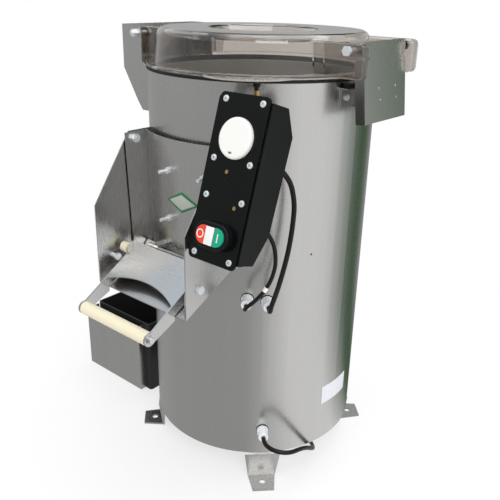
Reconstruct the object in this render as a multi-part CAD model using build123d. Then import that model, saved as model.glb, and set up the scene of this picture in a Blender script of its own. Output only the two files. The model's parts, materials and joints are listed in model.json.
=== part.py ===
"""Floor-standing electric potato peeler: drum, hinged lid, discharge door, control box, belt drive.

Frame: +Z up, origin on the drum's axis at the floor, -Y is the discharge side, +X the latch side
and -X the side of the lid's hinge.  All lengths are in millimetres, all angles in degrees.
"""
import math
import os

from build123d import *

os.makedirs("parts", exist_ok=True)

# ---------------------------------------------------------------- clearances
RUN_GAP = 0.3          # between faces that move past each other, and round pieces side by side
FIT_GAP = 0.05         # radial gap of a pin, shaft or bearing in its seat
SEAT_GAP = 0.1         # between a formed sheet and the curved wall it is fixed to
SIDE_GAP = 1.0         # beside a panel that swings between two walls
OVER = 1.0             # by which a cutter runs past the wall that it cuts
BITE = 0.5             # by which a piece reaches into the one that it is joined to

# ---------------------------------------------------------------- drum
SHEET = 2.0
DRUM_R = 200.0
DRUM_WALL = 1.5
DRUM_BOTTOM = 62.0
DRUM_TOP = 738.0
LINER_WALL = 3.0
LINER_RIB = 1.2
LINER_RIB_PITCH = 24.0
LINER_RIB_HEIGHT = 9.0
LINER_END_GAP = 8.0
GASKET_WALL = 1.8
GASKET_TOP = 3.4
GASKET_SKIRT = 7.0
GASKET_LIP = 1.5

# ---------------------------------------------------------------- lid
RIM_OVERHANG = 1.5
RIM_R = DRUM_R + RIM_OVERHANG
RIM_HEIGHT = 5.2
RIM_WIDTH = 12.5
RIM_INNER_R = RIM_R - RIM_WIDTH
RIM_ROUND = 1.5
LID_WALL = 3.0
DOME_STEP = 1.0
DOME_FOOT_R = RIM_INNER_R - DOME_STEP
DOME_TAPER = 4.5
DOME_TOP_R = DOME_FOOT_R - DOME_TAPER
DOME_RISE = 45.0
SHOULDER_RISE = 12.0
SHOULDER_WIDTH = 11.5
PLATEAU_R = DOME_TOP_R - SHOULDER_WIDTH
RECESS_R = 84.0
RECESS_DEPTH = 13.0
RECESS_SLOPE = 12.0
TAB_LENGTH = 24.5
TAB_REACH = RIM_R + TAB_LENGTH
TAB_START_DEG = 13.0
TAB_END_DEG = 52.0
TAB_THICK = 3.4
TAB_ROUND = 1.2
EAR_INNER_Y = 65.0
EAR_OUTER_Y = 85.0
EAR_LIFT = 8.0
EAR_HEIGHT = 51.0
EAR_BOTTOM = DRUM_TOP + EAR_LIFT
EAR_TOP = EAR_BOTTOM + EAR_HEIGHT
EAR_ROUND = 9.0
EAR_EDGE_ROUND = 3.0
EAR_WALL = 2.5
EAR_ROOT_X = 150.0
LID_PIVOT_OUT = 26.0
LID_PIVOT_DROP = 11.0
LID_PIVOT_X = DRUM_R + LID_PIVOT_OUT
LID_PIVOT_Z = EAR_TOP - LID_PIVOT_DROP
EAR_LEFT_PAST = 14.0
EAR_RIGHT_PAST = 26.0
EAR_LEFT_END = -LID_PIVOT_X - EAR_LEFT_PAST
EAR_RIGHT_END = LID_PIVOT_X + EAR_RIGHT_PAST
PIVOT_BOLT_R = 4.0

# ---------------------------------------------------------------- lid hinge bracket
BRACKET_DEPTH = 36.0
BRACKET_WEB_X = -LID_PIVOT_X - BRACKET_DEPTH
BRACKET_EAR_GAP = 7.0
BRACKET_HALF_WIDTH = EAR_OUTER_Y + BRACKET_EAR_GAP + SHEET
BRACKET_ABOVE_PIVOT = 14.0
BRACKET_TOP = LID_PIVOT_Z + BRACKET_ABOVE_PIVOT
BRACKET_BEND_DROP = 16.0
BRACKET_BEND = DRUM_TOP - BRACKET_BEND_DROP
BRACKET_KNEE_OUT = 26.0
BRACKET_KNEE_DROP = 74.0
BRACKET_TOE_OUT = 13.0
BRACKET_TOE_DROP = 91.0
BRACKET_ARM_END = 12.0
BRACKET_SHOULDER_OUT = 10.0
BRACKET_SHOULDER_DROP = 3.0
NUT_AF = 13.0
NUT_HEIGHT = 6.5
HEAD_AF = 13.0
HEAD_HEIGHT = 5.3

# ---------------------------------------------------------------- lid latch
LATCH_EAR_GAP = 2.0
LATCH_HALF_WIDTH = EAR_INNER_Y - LATCH_EAR_GAP
LATCH_REACH = 13.8
LATCH_ABOVE = 10.9
LATCH_BELOW = 108.6
LATCH_TILT = 6.28
LATCH_EAR_DEPTH = 27.0
LATCH_SKIRT_DEPTH = 16.0
LATCH_NOTCH_DROP = 13.0
LATCH_NOTCH_HEIGHT = 5.0
LATCH_NOTCH_DEPTH = 8.0
LATCH_EAR_ROUND = 6.0
HOOK_WIDTH = 52.0
HOOK_TOP_DROP = 54.0
HOOK_BOTTOM_DROP = 82.0
HOOK_CLEAR = 2.1
CATCH_DEG = 80.0
CATCH_WIDTH = 24.0
CATCH_DROP = 11.0
CATCH_HEIGHT = 30.0
CATCH_TOP = DRUM_TOP - CATCH_DROP
CATCH_BOTTOM = CATCH_TOP - CATCH_HEIGHT
CATCH_DEPTH = 14.0
CATCH_BOLT_R = 2.5
CATCH_BOLT_AF = 8.0
CATCH_BOLT_HEAD = 3.5
CATCH_BLOCK_WIDTH = 22.0
CATCH_BLOCK_HEIGHT = 7.0
CATCH_BLOCK_ROUND = 2.0

# ---------------------------------------------------------------- discharge chute
CHUTE_OUTER_X = 106.0
CHUTE_TOP = 641.0
CHUTE_TOP_DEPTH = 21.0
CHUTE_TOP_Y = -DRUM_R - CHUTE_TOP_DEPTH
CHUTE_SHOULDER_Z = 528.0
CHUTE_DEPTH = 99.0
CHUTE_FRONT_Y = -DRUM_R - CHUTE_DEPTH
CHUTE_FRONT_Z = 390.0
CHUTE_UNDER_DRUM = 5.0
CHUTE_BACK_Y = -DRUM_R + CHUTE_UNDER_DRUM
CHUTE_BACK_Z = 442.0
CHUTE_BACK_RISE = 13.0
CHUTE_ROOT_Y = -150.0
CHUTE_FLOOR_THICK = 1.5
CHUTE_SIDE_HEIGHT = 44.0
CHUTE_BOLT_BACK = 28.5
CHUTE_BOLT_RISE = 43.5
CHUTE_BOLT = (CHUTE_FRONT_Y + CHUTE_BOLT_BACK, CHUTE_FRONT_Z + CHUTE_BOLT_RISE)
CHUTE_BOLT_NUT_AF = 11.0
CHUTE_BOLT_REACH = 20.0

# ---------------------------------------------------------------- discharge door
DOOR_STAND_OFF = 11.5
DOOR_R = DRUM_R + DOOR_STAND_OFF
DOOR_THICK = 1.5
DOOR_SIDE_GAP = 2.5
DOOR_HALF_WIDTH = CHUTE_OUTER_X - SHEET - DOOR_SIDE_GAP
DOOR_LIFT = 3.0
DOOR_BOTTOM = CHUTE_BACK_Z + DOOR_LIFT
DOOR_TOP_DROP = 1.0
DOOR_TOP = CHUTE_TOP - DOOR_TOP_DROP
DOOR_FLANGE_TOP = 20.5
DOOR_FLANGE_BOTTOM = 12.5
DOOR_FLANGE_TOP_Y = -DOOR_R - DOOR_FLANGE_TOP
DOOR_FLANGE_BOTTOM_Y = -DOOR_R - DOOR_FLANGE_BOTTOM
DOOR_PIVOT_OUT = 0.5
DOOR_PIVOT_DROP = 11.0
DOOR_PIVOT_Y = -DOOR_R - DOOR_PIVOT_OUT
DOOR_PIVOT_Z = DOOR_TOP - DOOR_PIVOT_DROP
DOOR_SEAL_WIDTH = 10.0
OPENING_HALF_WIDTH = 88.0
OPENING_HEAD = 14.0
OPENING_BOTTOM = DOOR_BOTTOM + DOOR_SEAL_WIDTH
OPENING_TOP = DOOR_PIVOT_Z - OPENING_HEAD
OPENING_ROUND = 14.0
PLUG_INSET = 3.0
PLUG_RAISE = 3.0
STUD_DEGS = (-5.2, 14.8)
STUD_LOW_Z = OPENING_BOTTOM + 51.0
STUD_HIGH_Z = OPENING_TOP - 27.0
STUD_R = 3.0
STUD_REACH = 20.0
STUD_IN_PLUG = 10.0
STUD_NUT_AF = 10.0
STUD_NUT_HEIGHT = 5.0

# ---------------------------------------------------------------- lever with grip
LEVER_PIVOT_OUT = 14.5
LEVER_PIVOT_LIFT = 5.0
LEVER_PIVOT_Y = -DOOR_R - LEVER_PIVOT_OUT
LEVER_PIVOT_Z = DOOR_BOTTOM + LEVER_PIVOT_LIFT
LEVER_PIN_R = 3.0
LEVER_EYE_R = 6.0
LEVER_EYE_X = 40.0
LEVER_EYE_WIDTH = 16.0
LEVER_KNUCKLE_WIDTH = 7.0
LEVER_PIN_HEAD = 2.0
LEVER_SLOPE = 31.5
PLATE_HALF_WIDTH = 78.4
PLATE_FRONT_Y = LEVER_PIVOT_Y - 77.0
PLATE_ARCH_Y = LEVER_PIVOT_Y - 61.0
PLATE_BACK_Y = LEVER_PIVOT_Y - 7.0
PLATE_Y_AT_DATUM = LEVER_PIVOT_Y - 15.0
PLATE_Z_AT_DATUM = LEVER_PIVOT_Z - 3.0
PLATE_THICK = 1.5
PLATE_ARCH_INSET = 2.0
ARM_THICK = 3.2
ARM_WIDTH = 24.5
ARM_BACK_Y = LEVER_PIVOT_Y - 8.0
GRIP_Y = LEVER_PIVOT_Y - 126.0
GRIP_Z = LEVER_PIVOT_Z - 80.0
GRIP_R = 11.0
GRIP_ROUND = 1.5
GRIP_BORE = 25.0
GRIP_SCREW_R = 3.0
GRIP_SCREW_LENGTH = 20.0
GRIP_HEAD_R = 5.5
GRIP_HEAD_HEIGHT = 3.5
GRIP_WASHER_R = 7.0
GRIP_WASHER_THICK = 1.5
ROLLER_Y = LEVER_PIVOT_Y - 25.0
ROLLER_Z = LEVER_PIVOT_Z - 4.5
ROLLER_R = 9.3
ROLLER_LENGTH = 13.5
ROLLER_PIN_R = 3.0

# ---------------------------------------------------------------- control box
BOX_DATUM = (0.0, -265.9, 600.0)
BOX_TILT = 17.5
BOX_WIDTH = 98.0
BOX_LEFT_X = CHUTE_OUTER_X
BOX_RIGHT_X = BOX_LEFT_X + BOX_WIDTH
BOX_TOP_S = 131.0
BOX_BOTTOM_S = -95.0
BOX_WALL = 3.0
BOX_DEPTH = 61.5
BOX_TOP_DEPTH = 37.6
BOX_CHAMFER_S = 94.0
BOX_TAPER_S = -50.0
BOX_TAPER_DEPTH = 58.0
BOX_FOOT_DEPTH = 35.0
PLATE_SIDE_INSET = 3.5
PLATE_LEFT_X = BOX_LEFT_X + PLATE_SIDE_INSET
PLATE_RIGHT_X = BOX_RIGHT_X - PLATE_SIDE_INSET
PLATE_BOTTOM_S = BOX_BOTTOM_S - 9.4
PLATE_TOP_S = BOX_TOP_S + 6.8
PLATE_CORNER_R = 8.0
BOX_PLATE_THICK = 2.0
SCREW_X = (PLATE_LEFT_X + 11.9, PLATE_RIGHT_X - 12.1)
SCREW_S = (PLATE_TOP_S - 10.0, 43.8, -9.7, PLATE_BOTTOM_S + 10.0)
SCREW_HEAD_R = 4.7
SCREW_HEAD_HEIGHT = 2.2
SCREW_R = 2.0
SCREW_LENGTH = 8.0
SCREW_ROUND = 1.2
BOSS_R = 4.5
BOSS_DEPTH = 10.0
BOSS_FLOOR = 2.0
RIB_THICK = 3.0
KNOB_X = BOX_LEFT_X + 49.5
KNOB_S = 76.0
KNOB_R = 29.5
KNOB_HEIGHT = 7.0
KNOB_ROUND = 4.5
TIMER_SHAFT_R = 3.0
TIMER_SIZE = (50.0, 50.0, 34.0)
SWITCH_X = BOX_LEFT_X + 49.0
SWITCH_S = -64.0
BUTTON_LENGTH = 51.0
BUTTON_WIDTH = 27.0
BUTTON_TOP = 15.7
BUTTON_TRAVEL = 3.0
BUTTON_BODY = 7.2
LENS_HALF = 8.0
BEZEL_RIM = 6.0
BEZEL_HEIGHT = 12.4
SWITCH_BLOCK_SIZE = (44.0, 30.0, 30.0)

# ---------------------------------------------------------------- lid safety plunger
PLUNGER_X = BOX_LEFT_X + 24.0
PLUNGER_Y = -172.0
PLUNGER_CLEAR = 2.1
PLUNGER_TOP = DRUM_TOP + GASKET_TOP + RUN_GAP - PLUNGER_CLEAR
PLUNGER_TRAVEL = 4.0
PLUNGER_CAP_R = 5.3
PLUNGER_CAP_HEIGHT = 6.2
PLUNGER_ROD_R = 3.0
GUIDE_R = 4.8
GUIDE_STAND = 37.6
GUIDE_SEAT = 6.0
HOUSING_HEIGHT = 74.0
HOUSING_TOP = PLUNGER_TOP - GUIDE_SEAT - GUIDE_STAND
HOUSING_BOTTOM = HOUSING_TOP - HOUSING_HEIGHT
GUIDE_BOTTOM = HOUSING_TOP - GUIDE_SEAT
HOUSING_HALF_X = 12.0
HOUSING_HALF_Y = 9.0
HOUSING_WALL = 2.0
SPRING_R = 5.0
SPRING_END_GAP = 0.1
SPRING_WIRE_R = 0.5
SPRING_TURNS = 6
COLLAR_HEIGHT = 2.0
SPRING_HEIGHT = 22.0
LID_SWITCH_SIZE = (16.0, 8.0, 16.0)

# ---------------------------------------------------------------- leads and mains cord
GLAND_R = 9.4
GLAND_NUT_AF = 19.0
GLAND_NUT_HEIGHT = 6.0
GLAND_REACH = 24.0
GLAND_WASHER = 1.5
GLAND_THREAD_R = 6.0
GLAND_THREAD = 12.0
GLAND_TAPER = 0.6
GLAND_ROUND = 1.6
LOWER_LEAD_DEG = 35.0
LOWER_LEAD_Z = 381.0
UPPER_LEAD_DEG = 44.6
UPPER_LEAD_Z = 378.0
MAINS_DEG = 44.4
MAINS_Z = 114.0
LOWER_EXIT_X = 165.0
LOWER_EXIT_S = -42.0
UPPER_EXIT_X = 182.0
UPPER_EXIT_S = 46.0
LOWER_LEAD_R = 3.3
UPPER_LEAD_R = 4.0
LEAD_INSERT = 2.0
LEAD_RUN = 22.0
CORD_R = 4.0
CORD_LIFT = CORD_R + 0.2
COIL_X = -64.0
COIL_Y = 270.0
COIL_LEAD_IN = 44.0
COIL_INNER_R = 34.5
COIL_OUTER_R = 61.5
PLUG_R = 19.0
PLUG_LENGTH = 38.0
PLUG_RELIEF = 32.0
PIN_R = 2.4
PIN_LENGTH = 19.0
PIN_SPACING = 19.0

# ---------------------------------------------------------------- disc and drive
CHAMBER_FLOOR_Z = 392.0
SHAFT_CLEAR = 1.0
CHAMBER_FLOOR_THICK = 4.0
MOTOR_PLATE_LIFT = 68.0
MOTOR_PLATE_Z = DRUM_BOTTOM + MOTOR_PLATE_LIFT
MOTOR_PLATE_THICK = 6.0
MOTOR_PLATE_RIM = 20.0
BASE_THICK = 3.0
BASE_HOLE_R = 60.0
SHAFT_R = 12.5
SHAFT_END = 8.0
SHAFT_STEP = 4.0
HOUSING_R = 34.0
HOUSING_FLANGE_R = 48.0
HOUSING_FLANGE_THICK = 8.0
BEARING_R = 26.0
BEARING_WIDTH = 15.0
SEAL_R = 24.0
SEAL_HEIGHT = 8.0
DISC_GAP = 3.0
DISC_LIFT = 44.0
DISC_UNDERSIDE = CHAMBER_FLOOR_Z + DISC_LIFT
DISC_THICK = 8.0
DISC_WAVES = 3
DISC_WAVE_R = 30.0
DISC_WAVE_HEIGHT = 7.0
DISC_HUB_R = 34.0
DISC_HUB_HEIGHT = 14.0
DISC_NUT_R = 18.0
DISC_NUT_HEIGHT = 14.0
PULLEY_R = 80.0
MOTOR_PULLEY_R = 32.0
PULLEY_DROP = 46.0
PULLEY_Z = MOTOR_PLATE_Z - PULLEY_DROP
PULLEY_WIDTH = 20.0
PULLEY_GROOVE = 6.0
MOTOR_Y = 118.0
MOTOR_R = 66.0
MOTOR_HEIGHT = 190.0
MOTOR_SHAFT_R = 9.5
MOTOR_SHAFT_INSIDE = 60.0
MOTOR_FINS = 16
FIN_DEPTH = 4.0
BELT_THICK = 7.0

# ---------------------------------------------------------------- drain, waste box, feet
DRAIN_DEG = -112.0
DRAIN_R = 17.0
DRAIN_WALL = 2.0
DRAIN_LIFT = 22.0
DRAIN_Z = CHAMBER_FLOOR_Z + DRAIN_LIFT
DRAIN_REACH = 288.0
DRAIN_IN_BOX = 22.0
DRAIN_BEND = 42.0
DRAIN_FLANGE = 8.0
DRAIN_FLANGE_THICK = 4.0
WASTE_GAP = 33.0
WASTE_WIDTH = 177.0
WASTE_RIGHT = -DRUM_R - WASTE_GAP
WASTE_LEFT = WASTE_RIGHT - WASTE_WIDTH
WASTE_FRONT = -86.0
WASTE_BACK = 170.0
WASTE_TOP = 170.0
WASTE_WALL = 3.0
WASTE_ROUND = 6.0
DRAIN_END_Z = WASTE_TOP - DRAIN_IN_BOX
FACING_LEFT = WASTE_LEFT - 26.0
FACING_RIGHT = WASTE_RIGHT - 18.0
FACING_FRONT = WASTE_FRONT - 14.5
FACING_TOP = WASTE_TOP - 6.0
FOOT_DEGS = (45.0, 135.0, -135.0, -45.0)
FOOT_HOLE_R = 6.0
FOOT_HOLE_AT = DRUM_R + 11.0
FOOT_BEND_AT = DRUM_R - 10.0
FOOT_END_AT = DRUM_R + 33.0
FOOT_TOP_AT = DRUM_R - 4.0
FOOT_TAB_AT = DRUM_R - 32.0
FOOT_THICK = 4.0
FOOT_TOP_WIDTH = 68.0
FOOT_BEND_WIDTH = 52.0
FOOT_END_WIDTH = 40.0

# ---------------------------------------------------------------- worked-out sizes
DRUM_INNER_R = DRUM_R - DRUM_WALL
LINER_R = DRUM_INNER_R - RUN_GAP
LINER_INNER_R = LINER_R - LINER_WALL
CHUTE_INNER_X = CHUTE_OUTER_X - SHEET
RIM_BOTTOM = DRUM_TOP + GASKET_TOP + RUN_GAP
DOME_BASE = RIM_BOTTOM + RIM_HEIGHT
DOME_TOP = DOME_BASE + DOME_RISE
LID_TOP = DOME_TOP + SHOULDER_RISE
LEVER_TAN = math.tan(math.radians(LEVER_SLOPE))
LEVER_COS = math.cos(math.radians(LEVER_SLOPE))
CHUTE_SLOPE = (CHUTE_BACK_Z - CHUTE_FRONT_Z) / (CHUTE_BACK_Y - CHUTE_FRONT_Y)
BOX_TILT_SIN = math.sin(math.radians(BOX_TILT))
BOX_TILT_COS = math.cos(math.radians(BOX_TILT))
BOX_PLANE = Plane(origin=BOX_DATUM, x_dir=(1, 0, 0), z_dir=(0, -BOX_TILT_COS, BOX_TILT_SIN))
DISC_TOP = DISC_UNDERSIDE + DISC_THICK
DISC_R = LINER_INNER_R - DISC_GAP
BELT_MID_Z = PULLEY_Z + PULLEY_WIDTH / 2
BOTTOM = (Align.CENTER, Align.CENTER, Align.MIN)


# ---------------------------------------------------------------- helpers
def save(shape, name):
    """Write one node's solids."""
    export_step(shape, f"parts/{name}.step")


def around(deg, radius, z=0.0):
    """A point at an angle measured from -Y towards +X."""
    turn = math.radians(deg)
    return (radius * math.sin(turn), -radius * math.cos(turn), z)


def radial_plane(deg, radius, z):
    """A plane whose normal points away from the drum's axis."""
    turn = math.radians(deg)
    return Plane(origin=around(deg, radius, z), x_dir=(0, 0, 1),
                 z_dir=(math.sin(turn), -math.cos(turn), 0))


def block(x0, x1, y0, y1, z0, z1):
    """A box from its limits."""
    return Pos((x0 + x1) / 2, (y0 + y1) / 2, (z0 + z1) / 2) * Box(x1 - x0, y1 - y0, z1 - z0)


def rod(radius, z0, z1, x=0.0, y=0.0):
    """An upright cylinder."""
    return Pos(x, y, z0) * Cylinder(radius, z1 - z0, align=BOTTOM)


def ring(outer, inner, z0, z1, x=0.0, y=0.0):
    """An upright tube."""
    return rod(outer, z0, z1, x, y) - rod(inner, z0 - OVER, z1 + OVER, x, y)


def along_x(radius, x0, x1, y, z):
    """A cylinder whose axis runs along X."""
    return Pos(x0, y, z) * Rot(0, 90, 0) * Cylinder(radius, x1 - x0, align=BOTTOM)


def along_y(radius, y0, y1, x, z):
    """A cylinder whose axis runs along Y."""
    return Pos(x, y1, z) * Rot(90, 0, 0) * Cylinder(radius, y1 - y0, align=BOTTOM)


def side_shape(points, x0, x1):
    """An outline of (y, z) points made solid between two X values."""
    return extrude(Plane((x0, 0, 0), x_dir=(0, 1, 0), z_dir=(1, 0, 0))
                   * Polygon(*points, align=None), x1 - x0, dir=(1, 0, 0))


def front_shape(points, y0, y1):
    """An outline of (x, z) points made solid between two Y values."""
    return extrude(Plane((0, y1, 0), x_dir=(1, 0, 0), z_dir=(0, -1, 0))
                   * Polygon(*points, align=None), y1 - y0, dir=(0, -1, 0))


def hexagon(across_flats, height):
    """A hexagonal prism standing on its local origin."""
    return extrude(RegularPolygon(across_flats / 2, 6, major_radius=False), height)


def hex_bolt(radius, length, head_af, head_height):
    """A bolt with its head above the local origin and its shank below."""
    return hexagon(head_af, head_height) + Pos(0, 0, -length) * Cylinder(radius, length, align=BOTTOM)


def hex_nut(across_flats, height, radius):
    """A nut standing on its local origin, with its bore."""
    return hexagon(across_flats, height) - Pos(0, 0, -1) * Cylinder(radius, height + 2, align=BOTTOM)


def x_plane(x, y, z, sign):
    """A plane facing along +X or -X."""
    return Plane(origin=(x, y, z), x_dir=(0, 1, 0), z_dir=(sign, 0, 0))


def y_plane(x, y, z, sign):
    """A plane facing along +Y or -Y."""
    return Plane(origin=(x, y, z), x_dir=(1, 0, 0), z_dir=(0, sign, 0))


def lever_top(y):
    """Height of the lever plate's upper face at y."""
    return PLATE_Z_AT_DATUM + LEVER_TAN * (y - PLATE_Y_AT_DATUM)


def chute_top(y):
    """Height of the chute floor's upper face at y."""
    return CHUTE_FRONT_Z + CHUTE_SLOPE * (y - CHUTE_FRONT_Y)


def cord_path(points):
    """Straight runs joined by the largest tangent arcs that the runs allow, with its length."""
    radii = []
    for before, corner, after in zip(points, points[1:], points[2:]):
        first = Vector(*corner) - Vector(*before)
        second = Vector(*after) - Vector(*corner)
        shorter = min(first.length, second.length)
        radii.append(0.45 * shorter / math.tan(math.radians(first.get_angle(second)) / 2))
    path = FilletPolyline(*points, radius=radii)
    return path, radii


def cord_tube(name, points, radius):
    """A cord's plain tube along its path; prints what shows whether it is sound."""
    path, radii = cord_path(points)
    start = Plane(origin=path @ 0, z_dir=path % 0)
    tube = sweep(start * Circle(radius), path=path)
    length = path.length
    print(f"{name}: length {length:.0f}, radii {[round(r) for r in radii]},"
          f" volume ratio {tube.volume / (math.pi * radius ** 2 * length):.4f}")
    return tube


# ---------------------------------------------------------------- drum and frame
def outlet_cut(margin):
    """The discharge opening through the drum's wall, grown by a margin."""
    outline = RectangleRounded(2 * (OPENING_HALF_WIDTH + margin),
                               OPENING_TOP - OPENING_BOTTOM + 2 * margin, OPENING_ROUND)
    middle = (OPENING_TOP + OPENING_BOTTOM) / 2
    plane = Plane(origin=(0, -DRUM_R + 60, middle), x_dir=(1, 0, 0), z_dir=(0, -1, 0))
    return extrude(plane * outline, 120)


def gland_holes():
    """The bores for the three cable glands."""
    cuts = []
    for deg, z in gland_places():
        plane = radial_plane(deg, DRUM_R - 20, z)
        cuts.append(plane.location * Cylinder(GLAND_THREAD_R + FIT_GAP, 40, align=BOTTOM))
    return cuts


def gland_places():
    """Angle and height of each gland."""
    return ((LOWER_LEAD_DEG, LOWER_LEAD_Z), (UPPER_LEAD_DEG, UPPER_LEAD_Z), (MAINS_DEG, MAINS_Z))


def drain_bore(radius):
    """The drain's passage through the drum's wall."""
    return radial_plane(DRAIN_DEG, DRUM_R - 30, DRAIN_Z).location * Cylinder(radius, 60, align=BOTTOM)


def drum_shell():
    shell = ring(DRUM_R, DRUM_INNER_R, DRUM_BOTTOM, DRUM_TOP)
    shell -= outlet_cut(0)
    for cut in gland_holes():
        shell -= cut
    shell -= catch_bolt_bore(DRUM_R - 10)
    return shell - drain_bore(DRAIN_R + FIT_GAP)


def drum_liner():
    bottom = DISC_UNDERSIDE - LINER_END_GAP
    top = DRUM_TOP - LINER_END_GAP
    liner = ring(LINER_R, LINER_INNER_R, bottom, top)
    first = DISC_TOP + LINER_RIB_PITCH
    count = int((top - first) // LINER_RIB_PITCH)
    for index in range(count):
        z = first + index * LINER_RIB_PITCH
        liner += ring(LINER_INNER_R + BITE, LINER_INNER_R - LINER_RIB, z, z + LINER_RIB_HEIGHT)
    return liner - outlet_cut(0) - drain_bore(DRAIN_R + RUN_GAP)


def chamber_floor():
    floor = rod(DRUM_INNER_R - SEAT_GAP, CHAMBER_FLOOR_Z, CHAMBER_FLOOR_Z + CHAMBER_FLOOR_THICK)
    rim = ring(DRUM_INNER_R - SEAT_GAP, DRUM_INNER_R - SEAT_GAP - SHEET,
               CHAMBER_FLOOR_Z - MOTOR_PLATE_RIM, CHAMBER_FLOOR_Z + 1)
    for cut in gland_holes()[:2]:
        rim -= cut
    return floor + rim - rod(SHAFT_R + SHAFT_CLEAR, CHAMBER_FLOOR_Z - OVER,
                             CHAMBER_FLOOR_Z + CHAMBER_FLOOR_THICK + OVER)


def motor_plate():
    plate = rod(DRUM_INNER_R - SEAT_GAP, MOTOR_PLATE_Z, MOTOR_PLATE_Z + MOTOR_PLATE_THICK)
    plate += ring(DRUM_INNER_R - SEAT_GAP, DRUM_INNER_R - SEAT_GAP - SHEET,
                  MOTOR_PLATE_Z + MOTOR_PLATE_THICK - 1, MOTOR_PLATE_Z + MOTOR_PLATE_RIM)
    top = MOTOR_PLATE_Z + MOTOR_PLATE_THICK + OVER
    plate -= rod(SHAFT_R + SHAFT_CLEAR, MOTOR_PLATE_Z - OVER, top)
    return plate - rod(MOTOR_SHAFT_R + 4, MOTOR_PLATE_Z - OVER, top, 0, MOTOR_Y)


def base_plate():
    """The drum's bottom, which the feet are bolted up against, with its access hole and vents."""
    plate = rod(DRUM_INNER_R - SEAT_GAP, DRUM_BOTTOM, DRUM_BOTTOM + BASE_THICK)
    plate -= rod(BASE_HOLE_R, DRUM_BOTTOM - OVER, DRUM_BOTTOM + BASE_THICK + OVER)
    for index in range(12):
        x, y, _ = around(15 + 30 * index, (BASE_HOLE_R + FOOT_TAB_AT) / 2)
        plate -= rod(7, DRUM_BOTTOM - OVER, DRUM_BOTTOM + BASE_THICK + OVER, x, y)
    return plate


def foot():
    """One foot in the plane of +X: a strap bent out along the floor and in under the drum."""
    profile = [(FOOT_END_AT, 0), (FOOT_END_AT, FOOT_THICK), (FOOT_BEND_AT + FOOT_THICK, FOOT_THICK),
               (FOOT_TOP_AT + FOOT_THICK, DRUM_BOTTOM - FOOT_THICK), (FOOT_TOP_AT, DRUM_BOTTOM),
               (FOOT_TAB_AT, DRUM_BOTTOM), (FOOT_TAB_AT, DRUM_BOTTOM - FOOT_THICK),
               (FOOT_TOP_AT - 1, DRUM_BOTTOM - FOOT_THICK), (FOOT_BEND_AT, FOOT_THICK),
               (FOOT_BEND_AT, 0)]
    strap = front_shape(profile, -FOOT_TOP_WIDTH / 2, FOOT_TOP_WIDTH / 2)
    floor_part = Polygon((FOOT_BEND_AT - 40, FOOT_BEND_WIDTH / 2), (FOOT_BEND_AT, FOOT_BEND_WIDTH / 2),
                         (FOOT_END_AT, FOOT_END_WIDTH / 2), (FOOT_END_AT, -FOOT_END_WIDTH / 2),
                         (FOOT_BEND_AT, -FOOT_BEND_WIDTH / 2), (FOOT_BEND_AT - 40, -FOOT_BEND_WIDTH / 2),
                         align=None)
    riser = Plane(origin=(0, 0, 0), x_dir=(0, 1, 0), z_dir=(1, 0, 0)) * Polygon(
        (-FOOT_BEND_WIDTH / 2, -1), (FOOT_BEND_WIDTH / 2, -1), (FOOT_BEND_WIDTH / 2, FOOT_THICK),
        (FOOT_TOP_WIDTH / 2, DRUM_BOTTOM), (FOOT_TOP_WIDTH / 2, DRUM_BOTTOM + 1),
        (-FOOT_TOP_WIDTH / 2, DRUM_BOTTOM + 1), (-FOOT_TOP_WIDTH / 2, DRUM_BOTTOM),
        (-FOOT_BEND_WIDTH / 2, FOOT_THICK), align=None)
    strap &= extrude(riser, FOOT_END_AT + 10, dir=(1, 0, 0))
    pad_zone = block(FOOT_BEND_AT, FOOT_END_AT + 1, -60, 60, -1, FOOT_THICK)
    strap = (strap - pad_zone) + (strap & pad_zone & extrude(floor_part, FOOT_THICK, dir=(0, 0, 1)))
    return strap - rod(FOOT_HOLE_R, -1, FOOT_THICK + 1, FOOT_HOLE_AT, 0)


def feet():
    one = foot()
    return Compound([Rot(0, 0, deg - 90) * one for deg in FOOT_DEGS])


def drum_clear():
    """The drum's outside, with the seat of a welded sheet, as a cutter."""
    return rod(DRUM_R + SEAT_GAP, 0, DRUM_TOP + 100)


def side_plate(sign):
    outline = [(CHUTE_ROOT_Y, CHUTE_TOP), (CHUTE_TOP_Y, CHUTE_TOP), (CHUTE_FRONT_Y, CHUTE_SHOULDER_Z),
               (CHUTE_FRONT_Y, CHUTE_FRONT_Z), (CHUTE_BACK_Y, CHUTE_BACK_Z),
               (CHUTE_ROOT_Y, CHUTE_BACK_Z + CHUTE_BACK_RISE)]
    plate = side_shape(outline, CHUTE_INNER_X, CHUTE_OUTER_X)
    plate = plate - drum_clear()
    plate -= along_x(PIVOT_BOLT_R + FIT_GAP, CHUTE_INNER_X - OVER, CHUTE_OUTER_X + OVER, *CHUTE_BOLT)
    plate -= along_x(PIVOT_BOLT_R + FIT_GAP, CHUTE_INNER_X - OVER, CHUTE_OUTER_X + OVER,
                     DOOR_PIVOT_Y, DOOR_PIVOT_Z)
    if sign < 0:
        plate = mirror(plate, about=Plane.YZ)
    return plate


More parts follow.
